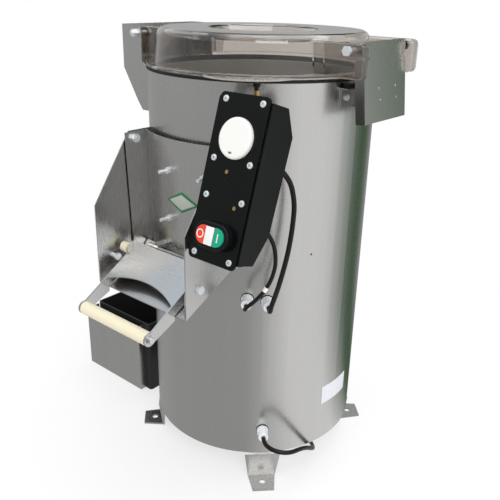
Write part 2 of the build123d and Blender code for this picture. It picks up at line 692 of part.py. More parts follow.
def chute_floor():
    """The sloping floor, level where it runs under the door, folded up inside each side plate."""
    drop = CHUTE_FLOOR_THICK / math.cos(math.atan(CHUTE_SLOPE))
    back_y = CHUTE_ROOT_Y
    inner = CHUTE_INNER_X - CHUTE_FLOOR_THICK
    under = [(back_y, CHUTE_BACK_Z), (back_y, CHUTE_BACK_Z - drop), (CHUTE_BACK_Y, CHUTE_BACK_Z - drop),
             (CHUTE_FRONT_Y, CHUTE_FRONT_Z - drop)]
    floor = side_shape([(CHUTE_FRONT_Y, CHUTE_FRONT_Z), (CHUTE_BACK_Y, CHUTE_BACK_Z)] + under,
                       -CHUTE_INNER_X, CHUTE_INNER_X)
    fold = [(CHUTE_FRONT_Y, CHUTE_FRONT_Z + CHUTE_SIDE_HEIGHT),
            (CHUTE_BACK_Y - 20, CHUTE_BACK_Z + 6), (CHUTE_BACK_Y, CHUTE_BACK_Z + 1)] + under
    for low, high in ((-CHUTE_INNER_X, -inner), (inner, CHUTE_INNER_X)):
        side = side_shape(fold, low, high)
        floor += side - along_x(PIVOT_BOLT_R + FIT_GAP, low - OVER, high + OVER, *CHUTE_BOLT)
    return floor - drum_clear()


def frame_bolts():
    """Bolts of the chute's sides, the door's pivots and the lid's catch, with their nuts."""
    solids = []
    for sign in (-1, 1):
        outside = sign * CHUTE_OUTER_X
        length = SHEET + CHUTE_BOLT_REACH
        place = x_plane(outside, *CHUTE_BOLT, sign)
        solids.append(place.location * hex_bolt(PIVOT_BOLT_R, length, HEAD_AF, HEAD_HEIGHT))
        nut_face = sign * (CHUTE_OUTER_X - length + 1)
        nut = x_plane(nut_face, *CHUTE_BOLT, sign).location * hex_nut(
            CHUTE_BOLT_NUT_AF, NUT_HEIGHT, PIVOT_BOLT_R)
        solids.append(nut)
        pivot = x_plane(outside, DOOR_PIVOT_Y, DOOR_PIVOT_Z, sign)
        door_inner = DOOR_HALF_WIDTH - DOOR_THICK
        pivot_length = CHUTE_OUTER_X - door_inner + NUT_HEIGHT + 1
        solids.append(pivot.location * hex_bolt(PIVOT_BOLT_R, pivot_length, HEAD_AF, HEAD_HEIGHT))
        nut_face = sign * (door_inner - RUN_GAP - NUT_HEIGHT)
        solids.append(x_plane(nut_face, DOOR_PIVOT_Y, DOOR_PIVOT_Z, sign).location
                      * hex_nut(HEAD_AF, NUT_HEIGHT, PIVOT_BOLT_R))
    catch = radial_plane(CATCH_DEG, DRUM_R + SEAT_GAP + SHEET, (CATCH_BOTTOM + CATCH_TOP) / 2)
    solids.append(catch.location * hex_bolt(CATCH_BOLT_R, SHEET + DRUM_WALL, CATCH_BOLT_AF,
                                             CATCH_BOLT_HEAD))
    return Compound(solids)


def rim_gasket():
    """The black edging over the drum's rim that the lid closes on."""
    outer = DRUM_R + GASKET_WALL
    inner = DRUM_INNER_R - GASKET_WALL
    body = ring(outer, inner, DRUM_TOP - GASKET_SKIRT, DRUM_TOP + GASKET_TOP)
    body = fillet(body.edges().group_by(Axis.Z)[-1], 1.2)
    body -= ring(outer + OVER, DRUM_R, DRUM_TOP - GASKET_SKIRT - OVER, DRUM_TOP - GASKET_LIP)
    return body - ring(DRUM_R + FIT_GAP, DRUM_INNER_R - FIT_GAP, DRUM_TOP - GASKET_SKIRT - 1,
                       DRUM_TOP + FIT_GAP)


# ---------------------------------------------------------------- lid, hinge bracket and latch
def lid_profile(inset):
    """Half section of the lid's outer form, or of its hollow when inset by the wall."""
    foot_z = RIM_BOTTOM if inset else DOME_BASE
    with BuildSketch(Plane.XZ) as section:
        with BuildLine():
            start = (DOME_FOOT_R - inset, foot_z)
            shoulder = (DOME_TOP_R - inset, DOME_TOP)
            crown = (PLATEAU_R - inset / 3, LID_TOP - inset)
            lip = (RECESS_R + RECESS_SLOPE, LID_TOP - inset)
            dish = (RECESS_R, LID_TOP - RECESS_DEPTH - inset)
            middle = (0, LID_TOP - RECESS_DEPTH - inset)
            wall = Line(start, shoulder)
            RadiusArc(wall @ 1, crown, -SHOULDER_RISE * 1.35)
            Polyline(crown, lip, dish, middle, (0, foot_z), start)
        make_face()
    return revolve(section.sketch, Axis.Z)


def lid_tab():
    """The crescent-shaped pull that stands out from the rim above the safety plunger."""
    half = math.radians(TAB_END_DEG - TAB_START_DEG) / 2
    middle = (TAB_END_DEG + TAB_START_DEG) / 2
    root_y = RIM_R * math.sin(half)
    root_x = RIM_R * math.cos(half)
    centre = (TAB_REACH ** 2 - root_x ** 2 - root_y ** 2) / (2 * (TAB_REACH - root_x))
    x, y, _ = around(middle, centre)
    tab = rod(TAB_REACH - centre, RIM_BOTTOM, RIM_BOTTOM + TAB_THICK, x, y)
    tab = fillet(tab.edges().group_by(Axis.Z)[-1], TAB_ROUND)
    return tab - rod(RIM_INNER_R + 1, RIM_BOTTOM - 1, RIM_BOTTOM + TAB_THICK + 1)


def lid_ear(inner_x, outer_x, low_y, high_y):
    """One hollow ear, open below, that carries a pivot bolt."""
    low = min(inner_x, outer_x)
    high = max(inner_x, outer_x)
    ear = block(low, high, low_y, high_y, EAR_BOTTOM, EAR_TOP)
    end = outer_x
    tips = ear.edges().filter_by(Axis.Y).filter_by(lambda edge: abs(edge.center().X - end) < 1)
    ear = fillet(tips, EAR_ROUND)
    upper = ear.faces().sort_by(Axis.Z)[-1].edges().filter_by(Axis.X)
    ear = fillet(upper, EAR_EDGE_ROUND)
    hollow = block(low + EAR_WALL if outer_x < 0 else low, high if outer_x < 0 else high - EAR_WALL,
                   low_y + EAR_WALL, high_y - EAR_WALL, EAR_BOTTOM - 1, EAR_TOP - EAR_WALL)
    return ear - hollow


def lid():
    outer = lid_profile(0)
    dome = outer - lid_profile(LID_WALL)
    rim = ring(RIM_R, RIM_INNER_R, RIM_BOTTOM, DOME_BASE)
    rim = fillet(rim.edges().group_by(Axis.Z)[-1].sort_by(SortBy.LENGTH)[-1:], RIM_ROUND)
    rim += ring(RIM_INNER_R + BITE, DOME_FOOT_R - LID_WALL, RIM_BOTTOM, DOME_BASE)
    body = dome + rim + lid_tab()
    bore = PIVOT_BOLT_R + FIT_GAP
    for sign_y in (-1, 1):
        low_y, high_y = sorted((sign_y * EAR_INNER_Y, sign_y * EAR_OUTER_Y))
        for end_x, pivot_x in ((EAR_LEFT_END, -LID_PIVOT_X), (EAR_RIGHT_END, LID_PIVOT_X)):
            ear = lid_ear(math.copysign(EAR_ROOT_X, end_x), end_x, low_y, high_y) - outer
            body += ear - rod(RIM_INNER_R + 1, EAR_BOTTOM - 2, EAR_BOTTOM)
            body -= along_y(bore, low_y - OVER, high_y + OVER, pivot_x, LID_PIVOT_Z)
    return body


def bracket_outline(inset):
    """The hinge bracket's side outline, or its inside when inset by the sheet."""
    knee_x = -DRUM_R - BRACKET_KNEE_OUT
    knee_z = DRUM_TOP - BRACKET_KNEE_DROP
    toe_x = -DRUM_R - BRACKET_TOE_OUT
    toe_z = DRUM_TOP - BRACKET_TOE_DROP
    inside_x = -DRUM_R + 4 * BRACKET_ARM_END
    wall_x = BRACKET_WEB_X + inset
    if inset:
        return [(wall_x, BRACKET_TOP + OVER), (wall_x, BRACKET_BEND + inset / 2),
                (knee_x + inset, knee_z + inset / 2), (toe_x + inset / 2, toe_z + inset),
                (inside_x, toe_z + inset), (inside_x, BRACKET_TOP + OVER)]
    shoulder_x = -DRUM_R - BRACKET_SHOULDER_OUT
    return [(wall_x, BRACKET_TOP), (wall_x, BRACKET_BEND), (knee_x, knee_z), (toe_x, toe_z),
            (inside_x, toe_z), (inside_x, BRACKET_BEND), (-DRUM_R + BRACKET_ARM_END, BRACKET_BEND),
            (shoulder_x, DRUM_TOP - BRACKET_SHOULDER_DROP), (shoulder_x, BRACKET_TOP)]


def hinge_bracket():
    half = BRACKET_HALF_WIDTH
    body = front_shape(bracket_outline(0), -half, half)
    body -= front_shape(bracket_outline(SHEET), -half + SHEET, half - SHEET)
    body -= drum_clear()
    return body - along_y(PIVOT_BOLT_R + FIT_GAP, -half - OVER, half + OVER, -LID_PIVOT_X, LID_PIVOT_Z)


def pivot_bolt(sign, x, head_y, length):
    """A pivot bolt whose head lies against the inner side and whose shank points outwards."""
    place = y_plane(x, head_y, LID_PIVOT_Z, -sign)
    return place.location * hex_bolt(PIVOT_BOLT_R, length, HEAD_AF, HEAD_HEIGHT)


def dome_nut():
    """A cap nut standing on its local origin."""
    nut = hexagon(NUT_AF, NUT_HEIGHT)
    dome = Pos(0, 0, NUT_HEIGHT - 2) * Sphere(NUT_AF / 2 - 0.6)
    nut += dome & (Pos(0, 0, NUT_HEIGHT - 1) * Cylinder(NUT_AF, NUT_AF, align=BOTTOM))
    return nut - Pos(0, 0, -1) * Cylinder(PIVOT_BOLT_R, NUT_HEIGHT, align=BOTTOM)


def hinge_pivot_bolts():
    solids = []
    for sign in (-1, 1):
        head_y = sign * (EAR_INNER_Y - RUN_GAP)
        length = BRACKET_HALF_WIDTH - EAR_INNER_Y + RUN_GAP + NUT_HEIGHT - 2
        solids.append(pivot_bolt(sign, -LID_PIVOT_X, head_y, length))
        nut = y_plane(-LID_PIVOT_X, sign * BRACKET_HALF_WIDTH, LID_PIVOT_Z, sign)
        solids.append(nut.location * dome_nut())
    return Compound(solids)


def latch_frame():
    """The latch's own frame at its pivot, tilted so that its foot stands out."""
    return Pos(LID_PIVOT_X, 0, LID_PIVOT_Z) * Rot(0, -LATCH_TILT, 0)


def latch_bracket():
    """The folded latch with its hook plate, which is spot welded inside."""
    web = block(LATCH_REACH - SHEET, LATCH_REACH, -LATCH_HALF_WIDTH, LATCH_HALF_WIDTH,
                -LATCH_BELOW, LATCH_ABOVE)
    body = web
    notch_top = -LATCH_NOTCH_DROP + LATCH_NOTCH_HEIGHT / 2
    notch_bottom = notch_top - LATCH_NOTCH_HEIGHT
    for low, high in ((-LATCH_HALF_WIDTH, -LATCH_HALF_WIDTH + SHEET),
                      (LATCH_HALF_WIDTH - SHEET, LATCH_HALF_WIDTH)):
        ear = block(LATCH_REACH - LATCH_EAR_DEPTH, LATCH_REACH - 1, low, high, notch_top, LATCH_ABOVE)
        corner = ear.edges().filter_by(Axis.Y).sort_by(Axis.X)[:2]
        ear = fillet(corner, LATCH_EAR_ROUND)
        skirt = block(LATCH_REACH - LATCH_SKIRT_DEPTH, LATCH_REACH - 1, low, high,
                      -LATCH_BELOW, notch_bottom)
        body += ear + skirt
        bolt_hole = along_y(PIVOT_BOLT_R + FIT_GAP, low - OVER, high + OVER, 0, 0)
        body -= bolt_hole
        body -= block(LATCH_REACH - LATCH_NOTCH_DEPTH, LATCH_REACH + OVER,
                      low - OVER if low < 0 else low - 2 * SHEET,
                      high + 2 * SHEET if low < 0 else high + OVER, notch_bottom, notch_top)
    hook = hook_plate()
    return latch_frame() * Compound([body, hook])


def hook_plate():
    """A Z-bent plate, in the latch's own frame, that reaches from the web to the catch."""
    top = -HOOK_TOP_DROP
    bottom = -HOOK_BOTTOM_DROP
    inside = LATCH_REACH - SHEET
    catch_face = DRUM_R + CATCH_DEPTH + HOOK_CLEAR - LID_PIVOT_X
    lean = math.tan(math.radians(LATCH_TILT)) * HOOK_BOTTOM_DROP
    tip = catch_face - lean
    middle = -DRUM_R * math.cos(math.radians(CATCH_DEG))
    low = middle - HOOK_WIDTH / 2
    high = middle + HOOK_WIDTH / 2
    leaf = block(inside - SHEET, inside, low, high, bottom, top)
    shelf = block(tip, inside - SHEET + 0.5, middle - CATCH_WIDTH / 2, middle + CATCH_WIDTH / 2,
                  bottom, bottom + SHEET)
    return leaf + shelf


def latch_bolts():
    solids = []
    for sign in (-1, 1):
        place = y_plane(LID_PIVOT_X, sign * EAR_OUTER_Y, LID_PIVOT_Z, sign)
        length = EAR_OUTER_Y - LATCH_HALF_WIDTH + SHEET + NUT_HEIGHT + 1
        solids.append(place.location * hex_bolt(PIVOT_BOLT_R, length, HEAD_AF, HEAD_HEIGHT))
        inner = sign * (LATCH_HALF_WIDTH - SHEET - RUN_GAP)
        nut = y_plane(LID_PIVOT_X, inner, LID_PIVOT_Z, -sign)
        solids.append(nut.location * hex_nut(NUT_AF, NUT_HEIGHT, PIVOT_BOLT_R))
    return Compound(solids)


def catch_bolt_bore(start_r):
    """The passage of the keeper's bolt."""
    place = radial_plane(CATCH_DEG, start_r, (CATCH_BOTTOM + CATCH_TOP) / 2)
    return place.location * Cylinder(CATCH_BOLT_R + FIT_GAP, 20, align=BOTTOM)


def catch_bracket():
    """A folded keeper on the drum behind the latch."""
    height = CATCH_TOP - CATCH_BOTTOM
    leaf = Pos(DRUM_R + SHEET / 2 + SEAT_GAP, 0, CATCH_BOTTOM + height / 2) * Box(
        SHEET, CATCH_WIDTH, height)
    lip = Pos(DRUM_R + CATCH_DEPTH / 2, 0, CATCH_TOP - SHEET / 2) * Box(
        CATCH_DEPTH, CATCH_WIDTH, SHEET)
    body = Rot(0, 0, CATCH_DEG - 90) * (leaf + lip)
    return body - drum_clear() - catch_bolt_bore(DRUM_R - 5)


def catch_block():
    """The rubber buffer on top of the keeper."""
    buffer = Pos(DRUM_R + CATCH_DEPTH / 2 + 1, 0, CATCH_TOP + CATCH_BLOCK_HEIGHT / 2) * Box(
        CATCH_DEPTH - 2, CATCH_BLOCK_WIDTH, CATCH_BLOCK_HEIGHT)
    buffer = fillet(buffer.edges().filter_by(Axis.Z), CATCH_BLOCK_ROUND)
    return Rot(0, 0, CATCH_DEG - 90) * buffer - rod(DRUM_R + GASKET_WALL + RUN_GAP, 0, DRUM_TOP + 20)


# ---------------------------------------------------------------- discharge door and lever
def door_panel():
    """A curved sheet with a flange down each side and two hinge eyes at its lower edge."""
    inner_x = DOOR_HALF_WIDTH - DOOR_THICK
    sheet = ring(DOOR_R, DOOR_R - DOOR_THICK, DOOR_BOTTOM, DOOR_TOP)
    sheet &= block(-DOOR_HALF_WIDTH, DOOR_HALF_WIDTH, -DOOR_R - 1, 0, DOOR_BOTTOM, DOOR_TOP)
    bend_y = -math.sqrt((DOOR_R - DOOR_THICK) ** 2 - inner_x ** 2)
    outline = [(bend_y - 0.5, DOOR_TOP), (DOOR_FLANGE_TOP_Y, DOOR_TOP),
               (DOOR_FLANGE_BOTTOM_Y, DOOR_BOTTOM), (bend_y - 0.5, DOOR_BOTTOM)]
    for low, high in ((-DOOR_HALF_WIDTH, -inner_x), (inner_x, DOOR_HALF_WIDTH)):
        flange = side_shape(outline, low, high)
        sheet += flange - along_x(PIVOT_BOLT_R + FIT_GAP, low - OVER, high + OVER,
                                  DOOR_PIVOT_Y, DOOR_PIVOT_Z)
    for x in (-LEVER_EYE_X, LEVER_EYE_X):
        sheet += hinge_eye(x - LEVER_EYE_WIDTH / 2, x + LEVER_EYE_WIDTH / 2)
    for deg, z in stud_places():
        sheet -= stud_hole(deg, z)
    return sheet


def hinge_eye(x0, x1):
    """A bored eye in front of the door, on a web that runs back to the sheet."""
    eye = along_x(LEVER_EYE_R, x0, x1, LEVER_PIVOT_Y, LEVER_PIVOT_Z)
    back_y = -DOOR_R + LEVER_EYE_X / 3
    web = block(x0, x1, LEVER_PIVOT_Y, back_y, LEVER_PIVOT_Z + OVER, LEVER_PIVOT_Z + LEVER_EYE_R)
    eye += web - rod(DOOR_R - BITE, LEVER_PIVOT_Z - LEVER_EYE_R, LEVER_PIVOT_Z + 2 * LEVER_EYE_R)
    return eye - along_x(LEVER_PIN_R + FIT_GAP, x0 - OVER, x1 + OVER, LEVER_PIVOT_Y, LEVER_PIVOT_Z)


def door_seal():
    """A rubber frame between the drum and the door, all round the opening."""
    inner = DRUM_R + RUN_GAP
    frame = ring(DOOR_R - DOOR_THICK - RUN_GAP / 3, inner, DOOR_BOTTOM, DOOR_PIVOT_Z - 1)
    half = OPENING_HALF_WIDTH + 1 + DOOR_SEAL_WIDTH
    frame &= block(-half, half, -DOOR_R, 0, DOOR_BOTTOM, DOOR_PIVOT_Z - 1)
    return frame - outlet_cut(1)


def door_liner():
    """The plug that fills the opening flush with the drum's lining."""
    plug = ring(DOOR_R - DOOR_THICK - RUN_GAP / 3, LINER_INNER_R, OPENING_BOTTOM + PLUG_RAISE,
                OPENING_TOP - PLUG_INSET)
    plug &= outlet_cut(-PLUG_INSET)
    for deg, z in stud_places():
        plug -= stud_hole(deg, z)
    return plug


def stud_places():
    """Angle and height of the four studs of the door."""
    return [(deg, z) for deg in STUD_DEGS for z in (STUD_LOW_Z, STUD_HIGH_Z)]


def stud_hole(deg, z):
    """The hole of one stud, through the door's sheet and into its plug."""
    depth = STUD_IN_PLUG + RUN_GAP
    return radial_plane(deg, DOOR_R - depth, z).location * Cylinder(
        STUD_R + FIT_GAP, depth + OVER, align=BOTTOM)


def door_studs():
    """Four studs that clamp the plug to the door, each with its nut."""
    solids = []
    for deg, z in stud_places():
        stud = Cylinder(STUD_R, STUD_IN_PLUG + STUD_REACH, align=BOTTOM)
        solids.append(radial_plane(deg, DOOR_R - STUD_IN_PLUG, z).location * stud)
        nut = hex_nut(STUD_NUT_AF, STUD_NUT_HEIGHT, STUD_R)
        solids.append(radial_plane(deg, DOOR_R + FIT_GAP, z).location * nut)
    return Compound(solids)


def lever_hinge_pin():
    half = LEVER_EYE_X + LEVER_EYE_WIDTH
    pin = along_x(LEVER_PIN_R, -half, half, LEVER_PIVOT_Y, LEVER_PIVOT_Z)
    for sign in (-1, 1):
        low, high = sorted((sign * half, sign * (half + LEVER_PIN_HEAD)))
        pin += along_x(LEVER_PIN_R + LEVER_PIN_HEAD, low, high, LEVER_PIVOT_Y, LEVER_PIVOT_Z)
    return pin


def lever_plate():
    """The sloping hand guard with an arched front edge and knuckles on the door's hinge pin."""
    drop = PLATE_THICK / LEVER_COS
    outline = [(PLATE_FRONT_Y, lever_top(PLATE_FRONT_Y)), (PLATE_BACK_Y, lever_top(PLATE_BACK_Y)),
               (PLATE_BACK_Y, lever_top(PLATE_BACK_Y) - drop),
               (PLATE_FRONT_Y, lever_top(PLATE_FRONT_Y) - drop)]
    plate = side_shape(outline, -PLATE_HALF_WIDTH, PLATE_HALF_WIDTH)
    arch_half = PLATE_HALF_WIDTH - PLATE_ARCH_INSET
    front_y = 2 * PLATE_FRONT_Y - PLATE_ARCH_Y
    with BuildSketch(Plane.XY) as arch:
        with BuildLine():
            bow = ThreePointArc((-arch_half, PLATE_FRONT_Y), (0, PLATE_ARCH_Y), (arch_half, PLATE_FRONT_Y))
            Polyline(bow @ 1, (arch_half, front_y), (-arch_half, front_y), bow @ 0)
        make_face()
    low = lever_top(front_y)
    plate -= Pos(0, 0, low) * extrude(arch.sketch, DOOR_TOP - low, dir=(0, 0, 1))
    plate -= rod(DOOR_R + SIDE_GAP, low, DOOR_TOP)
    eye_end = LEVER_EYE_X + LEVER_EYE_WIDTH / 2 + RUN_GAP
    far_end = eye_end + LEVER_KNUCKLE_WIDTH
    for low, high in ((-far_end, -eye_end), (eye_end, far_end)):
        plate += lever_knuckle(low, high)
    return plate


def lever_knuckle(x0, x1):
    """An eye of the lever, beside an eye of the door, joined to the back of the plate."""
    eye = along_x(LEVER_EYE_R, x0, x1, LEVER_PIVOT_Y, LEVER_PIVOT_Z)
    drop = PLATE_THICK / LEVER_COS
    join_y = PLATE_BACK_Y - 6
    neck = side_shape([(LEVER_PIVOT_Y, LEVER_PIVOT_Z + LEVER_EYE_R - 0.5),
                       (join_y, lever_top(join_y)), (join_y, lever_top(join_y) - drop),
                       (LEVER_PIVOT_Y, LEVER_PIVOT_Z - 2)], x0, x1)
    return eye + neck - along_x(LEVER_PIN_R + FIT_GAP, x0 - OVER, x1 + OVER, LEVER_PIVOT_Y, LEVER_PIVOT_Z)


def lever_arm(sign):
    """One flat arm: narrow over the chute's lip, full width in front of it, eye for the grip."""
    drop = ARM_WIDTH / LEVER_COS
    lip_y = CHUTE_FRONT_Y - SIDE_GAP
    over_lip = CHUTE_FRONT_Z + RUN_GAP
    back_low = chute_top(ARM_BACK_Y) + 4
    outline = [(ARM_BACK_Y, lever_top(ARM_BACK_Y)), (GRIP_Y, lever_top(GRIP_Y)),
               (GRIP_Y, GRIP_Z - GRIP_R), (lip_y, lever_top(lip_y) - drop),
               (lip_y, over_lip), (CHUTE_FRONT_Y + 4, over_lip + 2 + 4 * CHUTE_SLOPE),
               (ARM_BACK_Y, back_low)]
    low, high = PLATE_HALF_WIDTH + FIT_GAP, PLATE_HALF_WIDTH + FIT_GAP + ARM_THICK
    arm = side_shape(outline, low, high)
    arm += along_x(GRIP_R, low, high, GRIP_Y, GRIP_Z)
    arm += along_x(ROLLER_PIN_R + 4, low, high, ROLLER_Y, ROLLER_Z - 1)
    pin_end = high + RUN_GAP + ROLLER_LENGTH + RUN_GAP
    arm += along_x(ROLLER_PIN_R, high - 1, pin_end + 0.8, ROLLER_Y, ROLLER_Z)
    arm += along_x(ROLLER_PIN_R + 1.8, pin_end, pin_end + 1.2, ROLLER_Y, ROLLER_Z)
    arm -= along_x(GRIP_SCREW_R + FIT_GAP, low - OVER, high + OVER, GRIP_Y, GRIP_Z)
    if sign < 0:
        arm = mirror(arm, about=Plane.YZ)
    return arm


def lever_arms():
    return Compound([lever_arm(-1), lever_arm(1)])


def grip():
    half = PLATE_HALF_WIDTH
    bar = along_x(GRIP_R, -half, half, GRIP_Y, GRIP_Z)
    bar = fillet(bar.edges(), GRIP_ROUND)
    for low, high in ((-half - OVER, -half + GRIP_BORE), (half - GRIP_BORE, half + OVER)):
        bar -= along_x(GRIP_SCREW_R, low, high, GRIP_Y, GRIP_Z)
    return bar


def grip_screws():
    """A cap screw with a washer at each end of the grip."""
    solids = []
    face = PLATE_HALF_WIDTH + FIT_GAP + ARM_THICK
    for sign in (-1, 1):
        start = x_plane(sign * face, GRIP_Y, GRIP_Z, sign).location
        washer = Cylinder(GRIP_WASHER_R, GRIP_WASHER_THICK, align=BOTTOM)
        washer -= Pos(0, 0, -OVER) * Cylinder(GRIP_SCREW_R + FIT_GAP, GRIP_WASHER_THICK + 2 * OVER,
                                              align=BOTTOM)
        head = Pos(0, 0, GRIP_WASHER_THICK) * Cylinder(GRIP_HEAD_R, GRIP_HEAD_HEIGHT, align=BOTTOM)
        head = fillet(head.edges().group_by(Axis.Z)[-1], 1)
        shank = Cylinder(GRIP_SCREW_R, GRIP_SCREW_LENGTH + GRIP_WASHER_THICK, align=BOTTOM)
        screw = head + Pos(0, 0, -GRIP_SCREW_LENGTH) * shank
        solids += [start * washer, start * screw]
    return Compound(solids)


def rollers():
    """The two plastic rollers beside the arms; both turn on one line."""
    start = PLATE_HALF_WIDTH + FIT_GAP + ARM_THICK + RUN_GAP
    solids = []
    for sign in (-1, 1):
        low, high = sorted((sign * start, sign * (start + ROLLER_LENGTH)))
        roller = along_x(ROLLER_R, low, high, ROLLER_Y, ROLLER_Z)
        roller = fillet(roller.edges(), 1)
        solids.append(roller - along_x(ROLLER_PIN_R + FIT_GAP, low - OVER, high + OVER, ROLLER_Y, ROLLER_Z))
    return Compound(solids)


# ---------------------------------------------------------------- control box
def box_outline(inset):
    """The box's side outline as (s, depth) points; s runs up the sloping front."""
    return [(BOX_BOTTOM_S + inset, 0), (BOX_TOP_S - inset, 0),
            (BOX_TOP_S - inset, BOX_TOP_DEPTH - inset / 2),
            (BOX_CHAMFER_S - inset / 2, BOX_DEPTH - inset),
            (BOX_TAPER_S + inset / 4, BOX_TAPER_DEPTH - inset),
            (BOX_BOTTOM_S + inset, BOX_FOOT_DEPTH - inset / 2)]


def box_prism(inset):
    """The box's body, or its hollow when inset by the wall."""
    face = Polygon(*[(s, -depth) for s, depth in box_outline(inset)], align=None)
    plane = Plane(origin=(BOX_LEFT_X + inset, 0, 0), x_dir=(0, 1, 0), z_dir=(1, 0, 0))
    prism = extrude(plane * face, BOX_RIGHT_X - BOX_LEFT_X - 2 * inset, dir=(1, 0, 0))
    front = block(BOX_LEFT_X - 1, BOX_RIGHT_X + 1, BOX_BOTTOM_S - 1, BOX_TOP_S + 1,
                  -BOX_PLATE_THICK, 1)
    return prism - front


def switch_housing(grow):
    """The upright pocket behind the box in which the lid switch and its plunger sit."""
    half_x = HOUSING_HALF_X + grow
    half_y = HOUSING_HALF_Y + grow
    return block(PLUNGER_X - half_x, PLUNGER_X + half_x, PLUNGER_Y - half_y, PLUNGER_Y + half_y,
                 HOUSING_BOTTOM - grow, HOUSING_TOP + grow)


def screw_boss(x, s, wall_x):
    """A boss for one plate screw, on a rib that ties it to the box's side wall."""
    base = -BOX_PLATE_THICK - BOSS_DEPTH
    boss = Pos(x, s, base) * Cylinder(BOSS_R, BOSS_DEPTH, align=BOTTOM)
    low, high = sorted((x, wall_x))
    rib = block(low, high, s - RIB_THICK / 2, s + RIB_THICK / 2, base, -BOX_PLATE_THICK)
    return boss + rib


def control_box_body():
    outer = BOX_PLANE.location * box_prism(0)
    hollow = BOX_PLANE.location * box_prism(BOX_WALL)
    pocket = switch_housing(0)
    bridge = block(PLUNGER_X - HOUSING_HALF_X, PLUNGER_X + HOUSING_HALF_X, PLUNGER_Y - 30,
                   PLUNGER_Y, HOUSING_BOTTOM, HOUSING_TOP - 10)
    body = outer + bridge + pocket
    body -= hollow
    for x, wall_x in zip(SCREW_X, (BOX_LEFT_X + BITE, BOX_RIGHT_X - BITE)):
        for s in SCREW_S:
            body += BOX_PLANE.location * screw_boss(x, s, wall_x)
            bore = Pos(x, s, -BOX_PLATE_THICK - BOSS_DEPTH + BOSS_FLOOR) * (
                Cylinder(SCREW_R + FIT_GAP, BOSS_DEPTH, align=BOTTOM))
            body -= BOX_PLANE.location * bore
    body -= along_x(HEAD_AF / 2 + 3, BOX_LEFT_X - 1, BOX_LEFT_X + BOX_WALL + 1,
                    DOOR_PIVOT_Y, DOOR_PIVOT_Z)
    lid_of_pocket = block(PLUNGER_X - HOUSING_HALF_X, PLUNGER_X + HOUSING_HALF_X,
                          PLUNGER_Y - HOUSING_HALF_Y, PLUNGER_Y + HOUSING_HALF_Y,
                          GUIDE_BOTTOM, HOUSING_TOP)
    body -= switch_housing(-HOUSING_WALL) - lid_of_pocket
    body -= rod(GUIDE_R + FIT_GAP, HOUSING_TOP - 8, HOUSING_TOP + 5, PLUNGER_X, PLUNGER_Y)
    for place, radius in ((lead_exit(LOWER_EXIT_X, LOWER_EXIT_S), LOWER_LEAD_R),
                          (lead_exit(UPPER_EXIT_X, UPPER_EXIT_S), UPPER_LEAD_R)):
        hole = Cylinder(radius + FIT_GAP, 4 * BOX_WALL)
        body -= place.location * hole
    return body


def lead_exit(x, s):
    """The place where a lead leaves the box's back, as a plane that faces outwards."""
    lean = (BOX_DEPTH - BOX_TAPER_DEPTH) / (BOX_CHAMFER_S - BOX_TAPER_S)
    depth = BOX_DEPTH - (BOX_CHAMFER_S - s) * lean
    return Plane(BOX_PLANE.location * Location(
        Plane(origin=(x, s, -depth), x_dir=(1, 0, 0), z_dir=(0, lean, -1))))


def control_box_plate():
    width = PLATE_RIGHT_X - PLATE_LEFT_X
    height = PLATE_TOP_S - PLATE_BOTTOM_S
    centre = Pos((PLATE_LEFT_X + PLATE_RIGHT_X) / 2, (PLATE_TOP_S + PLATE_BOTTOM_S) / 2, 0)
    plate = centre * extrude(RectangleRounded(width, height, PLATE_CORNER_R), -BOX_PLATE_THICK)
    for x in SCREW_X:
        for s in SCREW_S:
            plate -= Pos(x, s, -BOX_PLATE_THICK - 1) * Cylinder(SCREW_R + FIT_GAP, 5, align=BOTTOM)
    plate -= Pos(KNOB_X, KNOB_S, -5) * Cylinder(TIMER_SHAFT_R + 1, 10, align=BOTTOM)
    hole = SlotOverall(BUTTON_LENGTH, BUTTON_WIDTH)
    plate -= Pos(SWITCH_X, SWITCH_S, -5) * extrude(hole, 10)
    return BOX_PLANE.location * plate


def plate_screws():
    solids = []
    for x in SCREW_X:
        for s in SCREW_S:
            head = Cylinder(SCREW_HEAD_R, SCREW_HEAD_HEIGHT, align=BOTTOM)
            head = fillet(head.edges().group_by(Axis.Z)[-1], SCREW_ROUND)
            screw = head + Pos(0, 0, -SCREW_LENGTH) * Cylinder(SCREW_R, SCREW_LENGTH, align=BOTTOM)
            solids.append(BOX_PLANE.location * Pos(x, s, 0) * screw)
    return Compound(solids)


def timer_unit():
    width, height, depth = TIMER_SIZE
    body = Pos(KNOB_X, KNOB_S, -BOX_PLATE_THICK - depth) * Box(width, height, depth, align=BOTTOM)
    body = fillet(body.edges().filter_by(Axis.Z), 4)
    shaft = Pos(KNOB_X, KNOB_S, -BOX_PLATE_THICK - 1) * Cylinder(
        TIMER_SHAFT_R, BOX_PLATE_THICK + 5, align=BOTTOM)
    return BOX_PLANE.location * (body + shaft)


def timer_knob():
    knob = Cylinder(KNOB_R, KNOB_HEIGHT, align=BOTTOM)
    knob = fillet(knob.edges().group_by(Axis.Z)[-1], KNOB_ROUND)
    knob = Pos(0, 0, RUN_GAP) * knob
    knob -= Cylinder(TIMER_SHAFT_R + FIT_GAP, 4.5 + RUN_GAP, align=BOTTOM)
    return BOX_PLANE.location * Pos(KNOB_X, KNOB_S, 0) * knob


